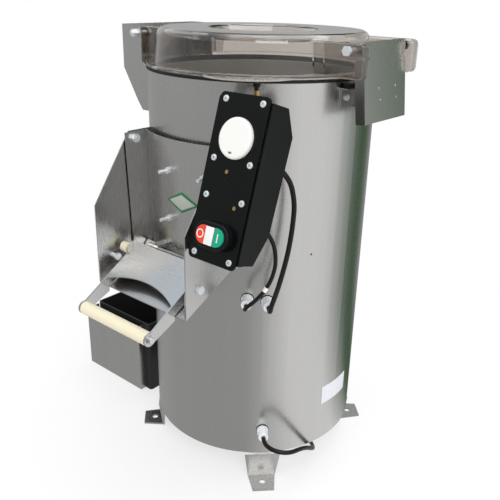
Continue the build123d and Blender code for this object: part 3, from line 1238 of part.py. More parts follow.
def switch_bezel():
    """The black surround of the push buttons with the fixed white bar in its middle."""
    outer = extrude(SlotOverall(BUTTON_LENGTH + 2 * BEZEL_RIM, BUTTON_WIDTH + 2 * BEZEL_RIM),
                    BEZEL_HEIGHT)
    outer = fillet(outer.edges().group_by(Axis.Z)[-1], 2)
    well = extrude(SlotOverall(BUTTON_LENGTH + 0.6, BUTTON_WIDTH + 0.6), BEZEL_HEIGHT + 2)
    floor_z = BUTTON_TOP - BUTTON_BODY - BUTTON_TRAVEL - 0.5
    body = outer - Pos(0, 0, floor_z) * well
    bar = extrude(Rectangle(2 * LENS_HALF, BUTTON_WIDTH), BUTTON_TOP - 0.5)
    bar &= extrude(SlotOverall(BUTTON_LENGTH, BUTTON_WIDTH + 0.2), BUTTON_TOP)
    return BOX_PLANE.location * Pos(SWITCH_X, SWITCH_S, 0) * (body + bar)


def button(sign):
    """A half-round push button at one end of the bezel."""
    cap = extrude(SlotOverall(BUTTON_LENGTH, BUTTON_WIDTH), BUTTON_BODY)
    half = block(LENS_HALF + RUN_GAP, BUTTON_LENGTH, -BUTTON_WIDTH, BUTTON_WIDTH, -1, BUTTON_BODY + 1)
    if sign < 0:
        half = mirror(half, about=Plane.YZ)
    cap = cap & half
    cap = fillet(cap.edges().group_by(Axis.Z)[-1], 1)
    return BOX_PLANE.location * Pos(SWITCH_X, SWITCH_S, BUTTON_TOP - BUTTON_BODY) * cap


def switch_block():
    width, height, depth = SWITCH_BLOCK_SIZE
    body = Pos(SWITCH_X, SWITCH_S, -BOX_PLATE_THICK - depth) * Box(width, height, depth, align=BOTTOM)
    body += Pos(SWITCH_X, SWITCH_S, -BOX_PLATE_THICK - 0.5) * Box(
        30, 16, BOX_PLATE_THICK + 0.5, align=BOTTOM)
    return BOX_PLANE.location * body


def plunger():
    """The safety plunger: a cap on a rod with the collar that its spring lifts."""
    cap_bottom = PLUNGER_TOP - PLUNGER_CAP_HEIGHT
    cap = rod(PLUNGER_CAP_R, cap_bottom, PLUNGER_TOP, PLUNGER_X, PLUNGER_Y)
    cap = fillet(cap.edges().group_by(Axis.Z)[-1], 1.5)
    stem = rod(PLUNGER_ROD_R, spring_bottom() + 8, cap_bottom + 0.5, PLUNGER_X, PLUNGER_Y)
    collar = rod(SPRING_R + 1, spring_top(), spring_top() + COLLAR_HEIGHT, PLUNGER_X, PLUNGER_Y)
    return cap + stem + collar


def spring_top():
    """Height of the collar's underside."""
    return GUIDE_BOTTOM - COLLAR_HEIGHT - 1


def spring_bottom():
    return spring_top() - SPRING_HEIGHT


def plunger_guide():
    top = PLUNGER_TOP - PLUNGER_CAP_HEIGHT - PLUNGER_TRAVEL - 1
    return ring(GUIDE_R, PLUNGER_ROD_R + FIT_GAP, GUIDE_BOTTOM, top, PLUNGER_X, PLUNGER_Y)


def plunger_spring():
    height = SPRING_HEIGHT - 2 * (SPRING_WIRE_R + SPRING_END_GAP)
    coil = Helix(pitch=height / SPRING_TURNS, height=height, radius=SPRING_R)
    wire = Plane(origin=coil @ 0, z_dir=coil % 0) * Circle(SPRING_WIRE_R)
    spring = sweep(wire, path=coil, is_frenet=True)
    return Pos(PLUNGER_X, PLUNGER_Y, spring_bottom() + SPRING_WIRE_R + SPRING_END_GAP) * spring


def lid_switch():
    """The micro switch under the plunger, with the shelf that its spring stands on."""
    width, depth, height = LID_SWITCH_SIZE
    top = spring_bottom() - 3
    body = Pos(PLUNGER_X, PLUNGER_Y, top - height) * Box(width, depth, height, align=BOTTOM)
    shelf = Pos(PLUNGER_X, PLUNGER_Y, top - 0.5) * Box(
        2 * HOUSING_HALF_X - 5, 2 * HOUSING_HALF_Y - 5, 3.5, align=BOTTOM)
    return body + shelf - rod(2.2, top + 0.5, top + 5, PLUNGER_X, PLUNGER_Y)


# ---------------------------------------------------------------- leads, glands and mains cord
def cable_gland():
    """A gland along its local +Z: washer, body and dome, with its threaded end through the wall."""
    body = Pos(0, 0, GLAND_WASHER) * hexagon(GLAND_NUT_AF, GLAND_NUT_HEIGHT)
    body += Cylinder(GLAND_R + 1, GLAND_WASHER, align=BOTTOM)
    neck = GLAND_WASHER + GLAND_NUT_HEIGHT
    cap = Cone(GLAND_R, GLAND_R - GLAND_TAPER, GLAND_REACH - neck, align=BOTTOM)
    cap = fillet(cap.edges().group_by(Axis.Z)[-1], GLAND_ROUND)
    body += Pos(0, 0, neck) * cap
    body += Pos(0, 0, -GLAND_THREAD) * Cylinder(GLAND_THREAD_R, GLAND_THREAD, align=BOTTOM)
    return body


def cable_glands():
    """The three glands of the drum, each with its lock nut inside."""
    solids = []
    for deg, z in gland_places():
        place = radial_plane(deg, DRUM_R + RUN_GAP, z).location
        solids.append(place * cable_gland())
    return Compound(solids)


def gland_end(deg, z):
    """Where a lead meets its gland."""
    return around(deg, DRUM_R + RUN_GAP + GLAND_REACH, z)


def lead_start(plane):
    """A lead begins inside its hole in the box's back, then runs straight out of it."""
    return tuple(plane.origin - plane.z_dir * LEAD_INSERT), tuple(plane.origin + plane.z_dir * LEAD_RUN)


def lower_lead():
    """The thinner lead, in a loose bow from low on the box's back to the left gland."""
    inside, outside = lead_start(lead_exit(LOWER_EXIT_X, LOWER_EXIT_S))
    x, y, z = gland_end(LOWER_LEAD_DEG, LOWER_LEAD_Z)
    out_x, out_y, _ = around(LOWER_LEAD_DEG, 14)
    points = [inside, outside, (173, -184, 517), (179, -176, 492), (180, -175, 465),
              (176, -180, 440), (168, -189.5, 419), (159, -200, 404.5), (150, -206, 394.5),
              (142.7, -203.7, 386.5), (x + out_x, y + out_y, z), (x, y, z)]
    return cord_tube("lower_lead", points, LOWER_LEAD_R)


def upper_lead():
    """The thicker lead, from high on the box's back down to the right gland."""
    inside, outside = lead_start(lead_exit(UPPER_EXIT_X, UPPER_EXIT_S))
    x, y, z = gland_end(UPPER_LEAD_DEG, UPPER_LEAD_Z)
    out_x, out_y, _ = around(UPPER_LEAD_DEG, 14)
    points = [inside, outside, (187, -154, 596), (190, -146, 561), (189, -148, 521),
              (186, -152, 482), (183, -160, 448), (182, -169, 425), (181, -177, 408),
              (179, -181, 395.5), (174.6, -177.1, 384), (x + out_x, y + out_y, z), (x, y, z)]
    return cord_tube("upper_lead", points, UPPER_LEAD_R)


def coil_stub_start():
    """Where the cord meets the coil: beside its outer turn, on the floor."""
    return (COIL_X + COIL_OUTER_R - CORD_R - 1, COIL_Y - COIL_LEAD_IN, CORD_LIFT)


def mains_cord():
    """The stretch from the gland, round and under the drum, to the coil behind it."""
    x, y, z = gland_end(MAINS_DEG, MAINS_Z)
    out_x, out_y, _ = around(MAINS_DEG, 14)
    end_x, end_y, end_z = coil_stub_start()
    points = [(x, y, z), (x + out_x, y + out_y, z), (181.5, -175, 114), (196, -172.5, 113),
              (208, -163.5, 111), (214, -149, 107), (213.5, -125, 99), (210, -98, 84), (204, -69, 61),
              (189, -42, 38), (167, -15, 21), (139, 9, 9), (107, 34, CORD_LIFT),
              (67, 66, CORD_LIFT), (26, 105, CORD_LIFT), (end_x, 162, CORD_LIFT),
              (end_x, end_y, end_z)]
    return cord_tube("mains_cord", points, CORD_R)


def mains_coil():
    """The put-away length as one ring, with the short ends that lead in and out of it."""
    section = Pos((COIL_OUTER_R + COIL_INNER_R) / 2, CORD_LIFT + CORD_R) * RectangleRounded(
        COIL_OUTER_R - COIL_INNER_R, 4 * CORD_R, CORD_R * 0.8)
    body = Pos(COIL_X, COIL_Y, 0) * revolve(Plane.XZ * section, Axis.Z)
    x, y, z = coil_stub_start()
    body += along_y(CORD_R, y, COIL_Y, x, z)
    side = plug_mouth()[1]
    high = CORD_LIFT + 2 * CORD_R
    path = FilletPolyline((COIL_X, side, high), (COIL_X - 34, side, high),
                          (COIL_X - 58, side, PLUG_R + 0.2), plug_mouth(), radius=[60, 60])
    start = Plane(origin=path @ 0, z_dir=path % 0)
    return body + sweep(start * Circle(CORD_R), path=path)


def plug_mouth():
    """Where the cord goes into the plug's strain relief."""
    return (COIL_X - 80, COIL_Y + COIL_OUTER_R - CORD_R - 1, PLUG_R + 0.2)


def mains_plug():
    """A round two-pin plug lying on the floor beyond the coil."""
    neck = Cone(CORD_R + 1.2, CORD_R + 4, PLUG_RELIEF, align=BOTTOM)
    body = Pos(0, 0, PLUG_RELIEF) * Cylinder(PLUG_R, PLUG_LENGTH, align=BOTTOM)
    body = fillet(body.edges().group_by(Axis.Z)[0], 7)
    body = fillet(body.edges().group_by(Axis.Z)[-1], 2)
    plug = neck + body
    for side in (-1, 1):
        plug += Pos(0, side * PIN_SPACING / 2, PLUG_RELIEF + PLUG_LENGTH - 1) * Cylinder(
            PIN_R, PIN_LENGTH + 1, align=BOTTOM)
    return x_plane(*plug_mouth(), -1).location * plug


# ---------------------------------------------------------------- disc and drive
def bearing_housing():
    """The spindle housing bolted between the motor plate and the chamber's floor."""
    low = MOTOR_PLATE_Z + MOTOR_PLATE_THICK
    body = ring(HOUSING_R, BEARING_R + FIT_GAP, low, CHAMBER_FLOOR_Z)
    for z in (low, CHAMBER_FLOOR_Z - HOUSING_FLANGE_THICK):
        body += ring(HOUSING_FLANGE_R, BEARING_R + FIT_GAP, z, z + HOUSING_FLANGE_THICK)
    seat = low + BEARING_WIDTH + 1
    body += ring(HOUSING_R - 1, BEARING_R - 4, seat, seat + 4)
    seat = CHAMBER_FLOOR_Z - BEARING_WIDTH - 1
    return body + ring(HOUSING_R - 1, BEARING_R - 4, seat - 4, seat)


def shaft_bearings():
    low = MOTOR_PLATE_Z + MOTOR_PLATE_THICK + 1
    high = CHAMBER_FLOOR_Z - BEARING_WIDTH - 1
    solids = []
    for z in (low, high):
        bearing = ring(BEARING_R, SHAFT_R + FIT_GAP, z, z + BEARING_WIDTH)
        solids.append(bearing)
    return Compound(solids)


def shaft_seal():
    z = CHAMBER_FLOOR_Z + CHAMBER_FLOOR_THICK
    seal = ring(SEAL_R, SHAFT_R + FIT_GAP, z, z + SEAL_HEIGHT)
    return fillet(seal.edges().group_by(Axis.Z)[-1], 2)


def main_shaft():
    top = DISC_TOP + DISC_NUT_HEIGHT - SHAFT_STEP
    shaft = rod(SHAFT_R, PULLEY_Z - SHAFT_END, DISC_UNDERSIDE - SHAFT_STEP / 2)
    return shaft + rod(SHAFT_R - SHAFT_STEP, DISC_UNDERSIDE - SHAFT_STEP / 2 - BITE, top)


def peeling_disc():
    """The abrasive disc: flat, with low rounded waves that throw the potatoes outwards."""
    body = rod(DISC_R, DISC_UNDERSIDE, DISC_TOP)
    body = fillet(body.edges().group_by(Axis.Z)[-1], 3)
    for index in range(DISC_WAVES):
        sink = DISC_WAVE_R - DISC_WAVE_HEIGHT
        wave = Rot(0, 90, 0) * Cylinder(DISC_WAVE_R, DISC_R - 50, align=BOTTOM)
        wave = Pos(38, 0, DISC_TOP - sink) * wave
        cap = wave & rod(DISC_R - 6, DISC_TOP - 1, DISC_TOP + DISC_WAVE_HEIGHT)
        body += Rot(0, 0, index * 360 / DISC_WAVES) * cap
    body += rod(DISC_HUB_R, DISC_UNDERSIDE - DISC_HUB_HEIGHT, DISC_UNDERSIDE + 1)
    for index in range(2):
        sweeper = block(DISC_HUB_R - 2, DISC_R - 10, -3, 3, DISC_UNDERSIDE - DISC_HUB_HEIGHT,
                        DISC_UNDERSIDE + 1)
        body += Rot(0, 0, 90 + 180 * index) * sweeper
    step_z = DISC_UNDERSIDE - SHAFT_STEP / 2
    body -= rod(SHAFT_R + FIT_GAP, DISC_UNDERSIDE - DISC_HUB_HEIGHT - OVER, step_z)
    return body - rod(SHAFT_R - SHAFT_STEP + FIT_GAP, step_z - OVER, DISC_TOP + 2 * DISC_WAVE_HEIGHT)


def disc_nut():
    """The round cap that holds the disc on its shaft."""
    nut = rod(DISC_NUT_R, DISC_TOP, DISC_TOP + DISC_NUT_HEIGHT)
    nut = fillet(nut.edges().group_by(Axis.Z)[-1], 5)
    return nut - rod(SHAFT_R - SHAFT_STEP + FIT_GAP, DISC_TOP - OVER,
                     DISC_TOP + DISC_NUT_HEIGHT - SHAFT_STEP + BITE)


def pulley(radius, bore, x, y):
    """A pulley with a groove for the belt and a hub above it."""
    body = ring(radius, bore, PULLEY_Z, PULLEY_Z + PULLEY_WIDTH, x, y)
    low = BELT_MID_Z - PULLEY_WIDTH / 4
    groove = ring(radius + 1, radius - PULLEY_GROOVE, low, low + PULLEY_WIDTH / 2, x, y)
    hub = ring(bore + 9, bore, PULLEY_Z + PULLEY_WIDTH - 1, PULLEY_Z + PULLEY_WIDTH + 8, x, y)
    return body - groove + hub


def drive_belt():
    """The flat outline of the belt, which runs in both pulleys' grooves."""
    gap = RUN_GAP + FIT_GAP
    big = PULLEY_R - PULLEY_GROOVE + gap
    small = MOTOR_PULLEY_R - PULLEY_GROOVE + gap
    low = BELT_MID_Z - PULLEY_WIDTH / 4 + gap
    high = BELT_MID_Z + PULLEY_WIDTH / 4 - gap
    return (belt_band(big + BELT_THICK, small + BELT_THICK, low, high)
            - belt_band(big, small, low - OVER, high + OVER))


def belt_band(big, small, z0, z1):
    """The solid between two circles and their outer tangents."""
    turn = math.asin((big - small) / MOTOR_Y)
    side = [(big * math.cos(turn), big * math.sin(turn)),
            (small * math.cos(turn), MOTOR_Y + small * math.sin(turn)),
            (-small * math.cos(turn), MOTOR_Y + small * math.sin(turn)),
            (-big * math.cos(turn), big * math.sin(turn))]
    middle = extrude(Polygon(*side, align=None), z1 - z0, dir=(0, 0, 1))
    return Pos(0, 0, z0) * middle + rod(big, z0, z1) + rod(small, z0, z1, 0, MOTOR_Y)


def motor():
    """A flange motor standing on its plate, shaft down, with cooling fins and a fan cowl."""
    low = MOTOR_PLATE_Z + MOTOR_PLATE_THICK
    top = low + MOTOR_HEIGHT
    body = rod(MOTOR_R - FIN_DEPTH, low, top, 0, MOTOR_Y)
    for index in range(MOTOR_FINS):
        fin = block(0, MOTOR_R, -2, 2, low + 22, top - 42)
        body += Pos(0, MOTOR_Y, 0) * Rot(0, 0, index * 360 / MOTOR_FINS) * fin
    cowl = rod(MOTOR_R, top - 40, top, 0, MOTOR_Y)
    body += fillet(cowl.edges().group_by(Axis.Z)[-1], 8)
    body += rod(MOTOR_R, low, low + 12, 0, MOTOR_Y)
    body -= rod(MOTOR_SHAFT_R + FIT_GAP, low - 1, low + MOTOR_SHAFT_INSIDE + RUN_GAP, 0, MOTOR_Y)
    return body - rod(MOTOR_R - 14, top - 3, top + 1, 0, MOTOR_Y)


def motor_pulley():
    """The small pulley with the motor's shaft, which turns with it."""
    shaft_top = MOTOR_PLATE_Z + MOTOR_PLATE_THICK + MOTOR_SHAFT_INSIDE
    shaft = rod(MOTOR_SHAFT_R, PULLEY_Z + 2, shaft_top, 0, MOTOR_Y)
    return Compound([pulley(MOTOR_PULLEY_R, MOTOR_SHAFT_R + FIT_GAP, 0, MOTOR_Y), shaft])


# ---------------------------------------------------------------- drain and waste box
def drain_pipe():
    """The outlet under the disc: out through the drum's wall, then down into the waste box."""
    start = around(DRAIN_DEG, DRUM_INNER_R - 2, DRAIN_Z)
    corner = around(DRAIN_DEG, DRAIN_REACH, DRAIN_Z)
    end = around(DRAIN_DEG, DRAIN_REACH, DRAIN_END_Z)
    path = FilletPolyline(start, corner, end, radius=DRAIN_BEND)
    mouth = Plane(origin=start, z_dir=path % 0)
    pipe = sweep(mouth * Circle(DRAIN_R), path=path)
    pipe -= sweep(mouth * Circle(DRAIN_R - DRAIN_WALL), path=path)
    collar = radial_plane(DRAIN_DEG, DRUM_R - OVER, DRAIN_Z).location * (
        Cylinder(DRAIN_R + DRAIN_FLANGE, DRAIN_FLANGE_THICK + OVER, align=BOTTOM)
        - Cylinder(DRAIN_R - BITE, 4 * DRAIN_FLANGE_THICK))
    return pipe + (collar - drum_clear())


def waste_box():
    """The open black box that stands on the floor beside the drum."""
    outer = block(WASTE_LEFT, WASTE_RIGHT, WASTE_FRONT, WASTE_BACK, 0, WASTE_TOP)
    outer = fillet(outer.edges().filter_by(Axis.Z), WASTE_ROUND)
    inner = block(WASTE_LEFT + WASTE_WALL, WASTE_RIGHT - WASTE_WALL, WASTE_FRONT + WASTE_WALL,
                  WASTE_BACK - WASTE_WALL, WASTE_WALL, WASTE_TOP + 1)
    return outer - fillet(inner.edges().filter_by(Axis.Z), WASTE_ROUND - WASTE_WALL)


def waste_box_front():
    """The steel facing in front of the box, folded back at its right end to the box."""
    face = block(FACING_LEFT, FACING_RIGHT, FACING_FRONT, FACING_FRONT + SHEET, 0, FACING_TOP)
    fold = block(FACING_RIGHT - SHEET, FACING_RIGHT, FACING_FRONT, WASTE_FRONT, 0, FACING_TOP)
    end = block(WASTE_LEFT, WASTE_LEFT + SHEET, FACING_FRONT, WASTE_FRONT, 0, FACING_TOP)
    return face + fold + end


def main():
    nodes = {
        "drum_shell": drum_shell(),
        "drum_liner": drum_liner(),
        "chamber_floor": chamber_floor(),
        "motor_plate": motor_plate(),
        "base_plate": base_plate(),
        "feet": feet(),
        "side_plate_left": side_plate(-1),
        "side_plate_right": side_plate(1),
        "chute_floor": chute_floor(),
        "frame_bolts": frame_bolts(),
        "rim_gasket": rim_gasket(),
        "lid": lid(),
        "hinge_bracket": hinge_bracket(),
        "hinge_pivot_bolts": hinge_pivot_bolts(),
        "latch_bracket": latch_bracket(),
        "latch_bolts": latch_bolts(),
        "catch_bracket": catch_bracket(),
        "catch_block": catch_block(),
        "door_panel": door_panel(),
        "door_seal": door_seal(),
        "door_liner": door_liner(),
        "door_studs": door_studs(),
        "lever_hinge_pin": lever_hinge_pin(),
        "lever_plate": lever_plate(),
        "lever_arms": lever_arms(),
        "grip": grip(),
        "grip_screws": grip_screws(),
        "rollers": rollers(),
        "control_box_body": control_box_body(),
        "control_box_plate": control_box_plate(),
        "plate_screws": plate_screws(),
        "timer_unit": timer_unit(),
        "timer_knob": timer_knob(),
        "switch_bezel": switch_bezel(),
        "button_off": button(-1),
        "button_on": button(1),
        "switch_block": switch_block(),
        "plunger": plunger(),
        "plunger_guide": plunger_guide(),
        "plunger_spring": plunger_spring(),
        "lid_switch": lid_switch(),
        "cable_glands": cable_glands(),
        "lower_lead": lower_lead(),
        "upper_lead": upper_lead(),
        "mains_cord": mains_cord(),
        "mains_coil": mains_coil(),
        "mains_plug": mains_plug(),
        "bearing_housing": bearing_housing(),
        "shaft_bearings": shaft_bearings(),
        "shaft_seal": shaft_seal(),
        "main_shaft": main_shaft(),
        "peeling_disc": peeling_disc(),
        "disc_nut": disc_nut(),
        "drive_pulley": pulley(PULLEY_R, SHAFT_R + FIT_GAP, 0, 0),
        "motor_pulley": motor_pulley(),
        "drive_belt": drive_belt(),
        "motor": motor(),
        "drain_pipe": drain_pipe(),
        "waste_box": waste_box(),
        "waste_box_front": waste_box_front(),
    }
    for name, shape in nodes.items():
        save(shape, name)


main()
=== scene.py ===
"""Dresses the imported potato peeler: finishes, small fittings, mains lead, floor, lights and camera."""
import json
import math

import bpy
from bpy.props import FloatProperty, FloatVectorProperty, IntProperty, PointerProperty
from mathutils import Euler, Matrix, Vector


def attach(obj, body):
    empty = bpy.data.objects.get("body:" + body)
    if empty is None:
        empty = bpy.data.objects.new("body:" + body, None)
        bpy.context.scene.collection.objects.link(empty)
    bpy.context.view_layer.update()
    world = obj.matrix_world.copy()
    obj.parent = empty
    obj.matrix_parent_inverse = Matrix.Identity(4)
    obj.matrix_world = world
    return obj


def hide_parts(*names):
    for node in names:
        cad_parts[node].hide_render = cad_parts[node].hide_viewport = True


bl_info = {
    "name": "Potato Peeler Dresser",
    "version": (1, 0, 0),
    "blender": (4, 5, 0),
    "location": "3D View > Sidebar > Peeler",
    "description": "Builds the finishes and small fittings of a floor-standing potato peeler",
    "category": "Object",
}

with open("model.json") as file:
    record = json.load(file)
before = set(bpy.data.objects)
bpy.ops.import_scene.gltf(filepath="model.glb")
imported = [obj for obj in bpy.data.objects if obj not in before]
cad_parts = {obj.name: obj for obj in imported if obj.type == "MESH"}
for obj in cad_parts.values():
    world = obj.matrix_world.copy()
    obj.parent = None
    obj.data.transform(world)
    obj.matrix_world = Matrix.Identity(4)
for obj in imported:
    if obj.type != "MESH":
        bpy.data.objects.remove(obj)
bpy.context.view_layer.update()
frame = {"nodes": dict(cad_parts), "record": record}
MM = 0.001

# ---------------------------------------------------------------- places taken from the construction
DRUM_R = 200 * MM
DOOR_R = 211.5 * MM
BOX_DATUM = Vector((0, -265.9, 600)) * MM
BOX_TILT = math.radians(17.5)
LATCH_PIVOT = Vector((226, 0, 786)) * MM
LATCH_TILT = math.radians(6.28)
LATCH_REACH = 13.8 * MM
GLAND_REACH = 24 * MM
WALL_GAP = 0.3 * MM
GLANDS = ((35.0, 381 * MM), (44.4, 114 * MM), (44.6, 378 * MM))
MAINS_GLAND = GLANDS[1]
BUTTON_TOP = 15.7 * MM
SWITCH_AT = (155 * MM, -64 * MM)
KNOB_AT = (155.5 * MM, 76 * MM)
KNOB_TOP = 7.3 * MM
SCREW_X = (121.4 * MM, 188.4 * MM)
SCREW_S = (127.8 * MM, 43.8 * MM, -9.7 * MM, -94.4 * MM)
SCREW_TOP = 2.2 * MM
CORD_R = 4 * MM
CORD_LIFT = 4.2 * MM
COIL_AT = Vector((-64, 270, 0)) * MM
COIL_TURN_R = 56.5 * MM
COIL_LEAD_IN = 44 * MM
COIL_RUN_Y = 162 * MM
COIL_PITCH = 8.5 * MM
COIL_LAYER_TURNS = 2
COIL_CLIMB_TURNS = 0.25
PLUG_LIFT = 19.2 * MM

# ---------------------------------------------------------------- places and sizes of the small fittings
BADGE_Z = 539 * MM
BADGE_TURN = 2.9
BADGE_SLICE = 0.05
LABEL_Z = 160 * MM
LABEL_TURN = 90
VENT_Z = 457 * MM
VENT_TURN = 66
STOP_RING_X = -17 * MM
STOP_RING_R = 5.7 * MM
STOP_RING_SECTION = 0.85 * MM
START_BAR_X = 16 * MM
START_BAR = (1.7 * MM, 12.6 * MM, 0.25 * MM)
LENS = (15.6 * MM, 26.4 * MM, 0.6 * MM)
LENS_SINK = 0.5 * MM
KNOB_MARK_R = 1.6 * MM
KNOB_MARK_STRETCH = 2.2
KNOB_MARK_OFF = (-1.5 * MM, -21 * MM)
INSERTS = ((150 * MM, 28 * MM), (177 * MM, -19 * MM))
DIMPLES = ((156 * MM, 15 * MM), (145 * MM, 0 * MM))
DRIVER_SLOT = (4.4 * MM, 1.0 * MM, 0.25 * MM)
SLOT_SINK = 0.17 * MM
GLAND_RING_R = 10.4 * MM
MARKER_LOW = Vector((168, -189.5, 419)) * MM
MARKER_HIGH = Vector((172, -184.7, 429.5)) * MM
WELD_DOTS = ((-20 * MM, 58.6 * MM), (31 * MM, 58.6 * MM), (-15 * MM, 76.4 * MM), (35 * MM, 76.4 * MM))

# ---------------------------------------------------------------- stage, in metres
WALL_R = 0.9
WALL_HEIGHT = 1.1
WALL_LIFT = 1 * MM
GREY_WALL = (0.4, 0.4, 0.4)
WHITE_SHEET = (0.9, 0.9, 0.9)
GREEN_CLOTH = (0.05, 0.1, 0.05)
WALL_TONES = ((0.0, GREY_WALL), (0.6, GREY_WALL), (0.7, WHITE_SHEET), (0.8, WHITE_SHEET),
              (0.9, GREEN_CLOTH), (0.95, GREEN_CLOTH), (1.0, GREY_WALL))
FLOOR_SIZE = 14
SHADOW_R, PLAIN_FLOOR_R = 0.3, 1.1
CARD_AIM = Vector((0, 0, 0.8))
LIGHT_AIM = Vector((0, 0, 0.4))
CAMERA_AT = (0.7348, -0.9092, 0.8660)
CAMERA_HEADING = math.radians(39.61)
CAMERA_PITCH = math.radians(22.19)
CAMERA_ROLL = math.radians(1.34)
FOCAL_PIXELS = 641.64
PICTURE_PIXELS = 500
SENSOR_WIDTH = 36.0
LIGHTS = (("key_light", (2.2, -1.9, 2.6), 1.8, 62), ("fill_light", (-2.2, -2.0, 1.8), 1.6, 16),
          ("top_light", (0.2, 0.6, 3.2), 2.4, 40))
CARDS = (("green_card", (-0.19, 1.21, 1.38), 0.76, 1.9, GREEN_CLOTH),
         ("sky_card", (-0.94, -0.27, 1.75), 1.0, 1.0, (0.7, 0.8, 0.9)))


# ---------------------------------------------------------------- settings that a user would change
class PeelerSettings(bpy.types.PropertyGroup):
    """Sizes and colours of the dressed peeler."""
    steel: FloatVectorProperty(name="Steel", description="Colour of the satin sheet steel",
                               subtype="COLOR", size=3, default=(0.60, 0.595, 0.585), min=0, max=1)
    lid_tint: FloatVectorProperty(name="Lid tint", description="Colour of the clear lid",
                                  subtype="COLOR", size=3, default=(0.68, 0.65, 0.62), min=0, max=1)
    box_black: FloatVectorProperty(name="Box black", description="Colour of the control box",
                                   subtype="COLOR", size=3, default=(0.002, 0.0028, 0.003),
                                   min=0, max=1)
    stop_red: FloatVectorProperty(name="Stop red", description="Colour of the stop button",
                                  subtype="COLOR", size=3, default=(0.72, 0.055, 0.025),
                                  min=0, max=1)
    start_green: FloatVectorProperty(name="Start green", description="Colour of the start button",
                                     subtype="COLOR", size=3, default=(0.0, 0.33, 0.19),
                                     min=0, max=1)
    grip_cream: FloatVectorProperty(name="Grip cream", description="Colour of the grip and rollers",
                                    subtype="COLOR", size=3, default=(0.80, 0.74, 0.55),
                                    min=0, max=1)
    badge_width: FloatProperty(name="Badge width", description="Width of the bare badge on the door",
                               default=70 * MM, unit="LENGTH")
    badge_height: FloatProperty(name="Badge height", description="Height of the bare badge",
                                default=36 * MM, unit="LENGTH")
    label_width: FloatProperty(name="Label width", description="Width round the drum of the bare label",
                               default=76 * MM, unit="LENGTH")
    label_height: FloatProperty(name="Label height", description="Height of the bare label",
                                default=38 * MM, unit="LENGTH")
    coil_points: IntProperty(name="Coil points", description="Points in each turn of the stored lead",
                             default=16, min=12, max=48)


# ---------------------------------------------------------------- shader arithmetic
class Value:
    """A shader value on which ordinary arithmetic adds Math nodes."""

    def __init__(self, finish, socket):
        self.finish = finish
        self.socket = socket

    def _math(self, operation, first, second=None):
        inputs = [first] if second is None else [first, second]
        return self.finish.node("ShaderNodeMath", {"operation": operation}, inputs)

    def __add__(self, other):
        return self._math("ADD", self, other)

    def __radd__(self, other):
        return self._math("ADD", other, self)

    def __sub__(self, other):
        return self._math("SUBTRACT", self, other)

    def __rsub__(self, other):
        return self._math("SUBTRACT", other, self)

    def __mul__(self, other):
        return self._math("MULTIPLY", self, other)

    def __rmul__(self, other):
        return self._math("MULTIPLY", other, self)

    def __pow__(self, other):
        return self._math("POWER", self, other)


class Finish:
    """One material with its own node tree."""

    def __init__(self, name, **constants):
        self.material = bpy.data.materials.new(name)
        self.material.use_nodes = True
        self.tree = self.material.node_tree
        self.shader = self.tree.nodes["Principled BSDF"]
        self.coords = None
        for socket, value in constants.items():
            self.shader.inputs[socket.replace("_", " ")].default_value = value

    def node(self, kind, settings=None, inputs=None, output=0):
        """Adds one node: its settings first, then the values or links of its sockets."""
        made = self.tree.nodes.new(kind)
        for key, value in (settings or {}).items():
            if key == "stops":
                self._stops(made.color_ramp, value)
            else:
                setattr(made, key, value)
        pairs = inputs.items() if isinstance(inputs, dict) else enumerate(inputs or [])
        for key, value in pairs:
            self._set(made.inputs[key], value)
        return Value(self, made.outputs[output])

    def _stops(self, ramp, stops):
        while len(ramp.elements) < len(stops):
            ramp.elements.new(0.5)
        for element, (at, colour) in zip(ramp.elements, stops):
            element.position = at
            element.color = (*colour, 1)

    def _set(self, socket, value):
        if isinstance(value, Value):
            self.tree.links.new(value.socket, socket)
        elif socket.type == "RGBA" and len(value) == 3:
            socket.default_value = (*value, 1)
        else:
            socket.default_value = value

    def feed(self, socket, value):
        """Links a value, or sets a constant, on the shader's own socket."""
        self._set(self.shader.inputs[socket], value)

    def place(self, scale=(1, 1, 1), turn=(0, 0, 0)):
        """Object coordinates, scaled and turned."""
        if self.coords is None:
            self.coords = self.node("ShaderNodeTexCoord", output=3)
        return self.node("ShaderNodeMapping", None,
                         {"Vector": self.coords, "Scale": scale, "Rotation": turn})

    def noise(self, place, scale, detail=3.0, rough=0.55):
        return self.node("ShaderNodeTexNoise", None,
                         {"Vector": place, "Scale": scale, "Detail": detail, "Roughness": rough})

    def ramp(self, factor, stops):
        return self.node("ShaderNodeValToRGB", {"stops": stops}, [factor])

    def mix(self, factor, first, second):
        """Mixes two colours."""
        made = self.tree.nodes.new("ShaderNodeMix")
        made.data_type = "RGBA"
        for index, value in ((0, factor), (6, first), (7, second)):
            self._set(made.inputs[index], value)
        return Value(self, made.outputs[2])

    def between(self, factor, low, high):
        """A number that runs from low to high with the factor."""
        return self.node("ShaderNodeMapRange", None,
                         {"Value": factor, "To Min": low, "To Max": high})

    def glow_where(self, factor):
        """Turns the surface into a plain white light where the factor is one."""
        white = self.node("ShaderNodeEmission")
        mixed = self.node("ShaderNodeMixShader", None,
                          [factor, Value(self, self.shader.outputs[0]), white])
        self.tree.links.new(mixed.socket, self.tree.nodes["Material Output"].inputs["Surface"])

    def rays(self):
        """One for camera rays, and one for rays that come by way of a mirror or a clear body."""
        seen = [self.node("ShaderNodeLightPath", output=output)
                for output in ("Is Camera Ray", "Is Glossy Ray", "Is Transmission Ray")]
        return seen[0], seen[1] + seen[2]

    def bump(self, height, strength, distance):
        """Raises the surface a little by a height pattern."""
        self.feed("Normal", self.node("ShaderNodeBump", None,
                                      {"Strength": strength, "Distance": distance,
                                       "Height": height}))


def shade(colour, factor):
    """A colour made lighter or darker."""
    return tuple(min(1.0, part * factor) for part in colour)


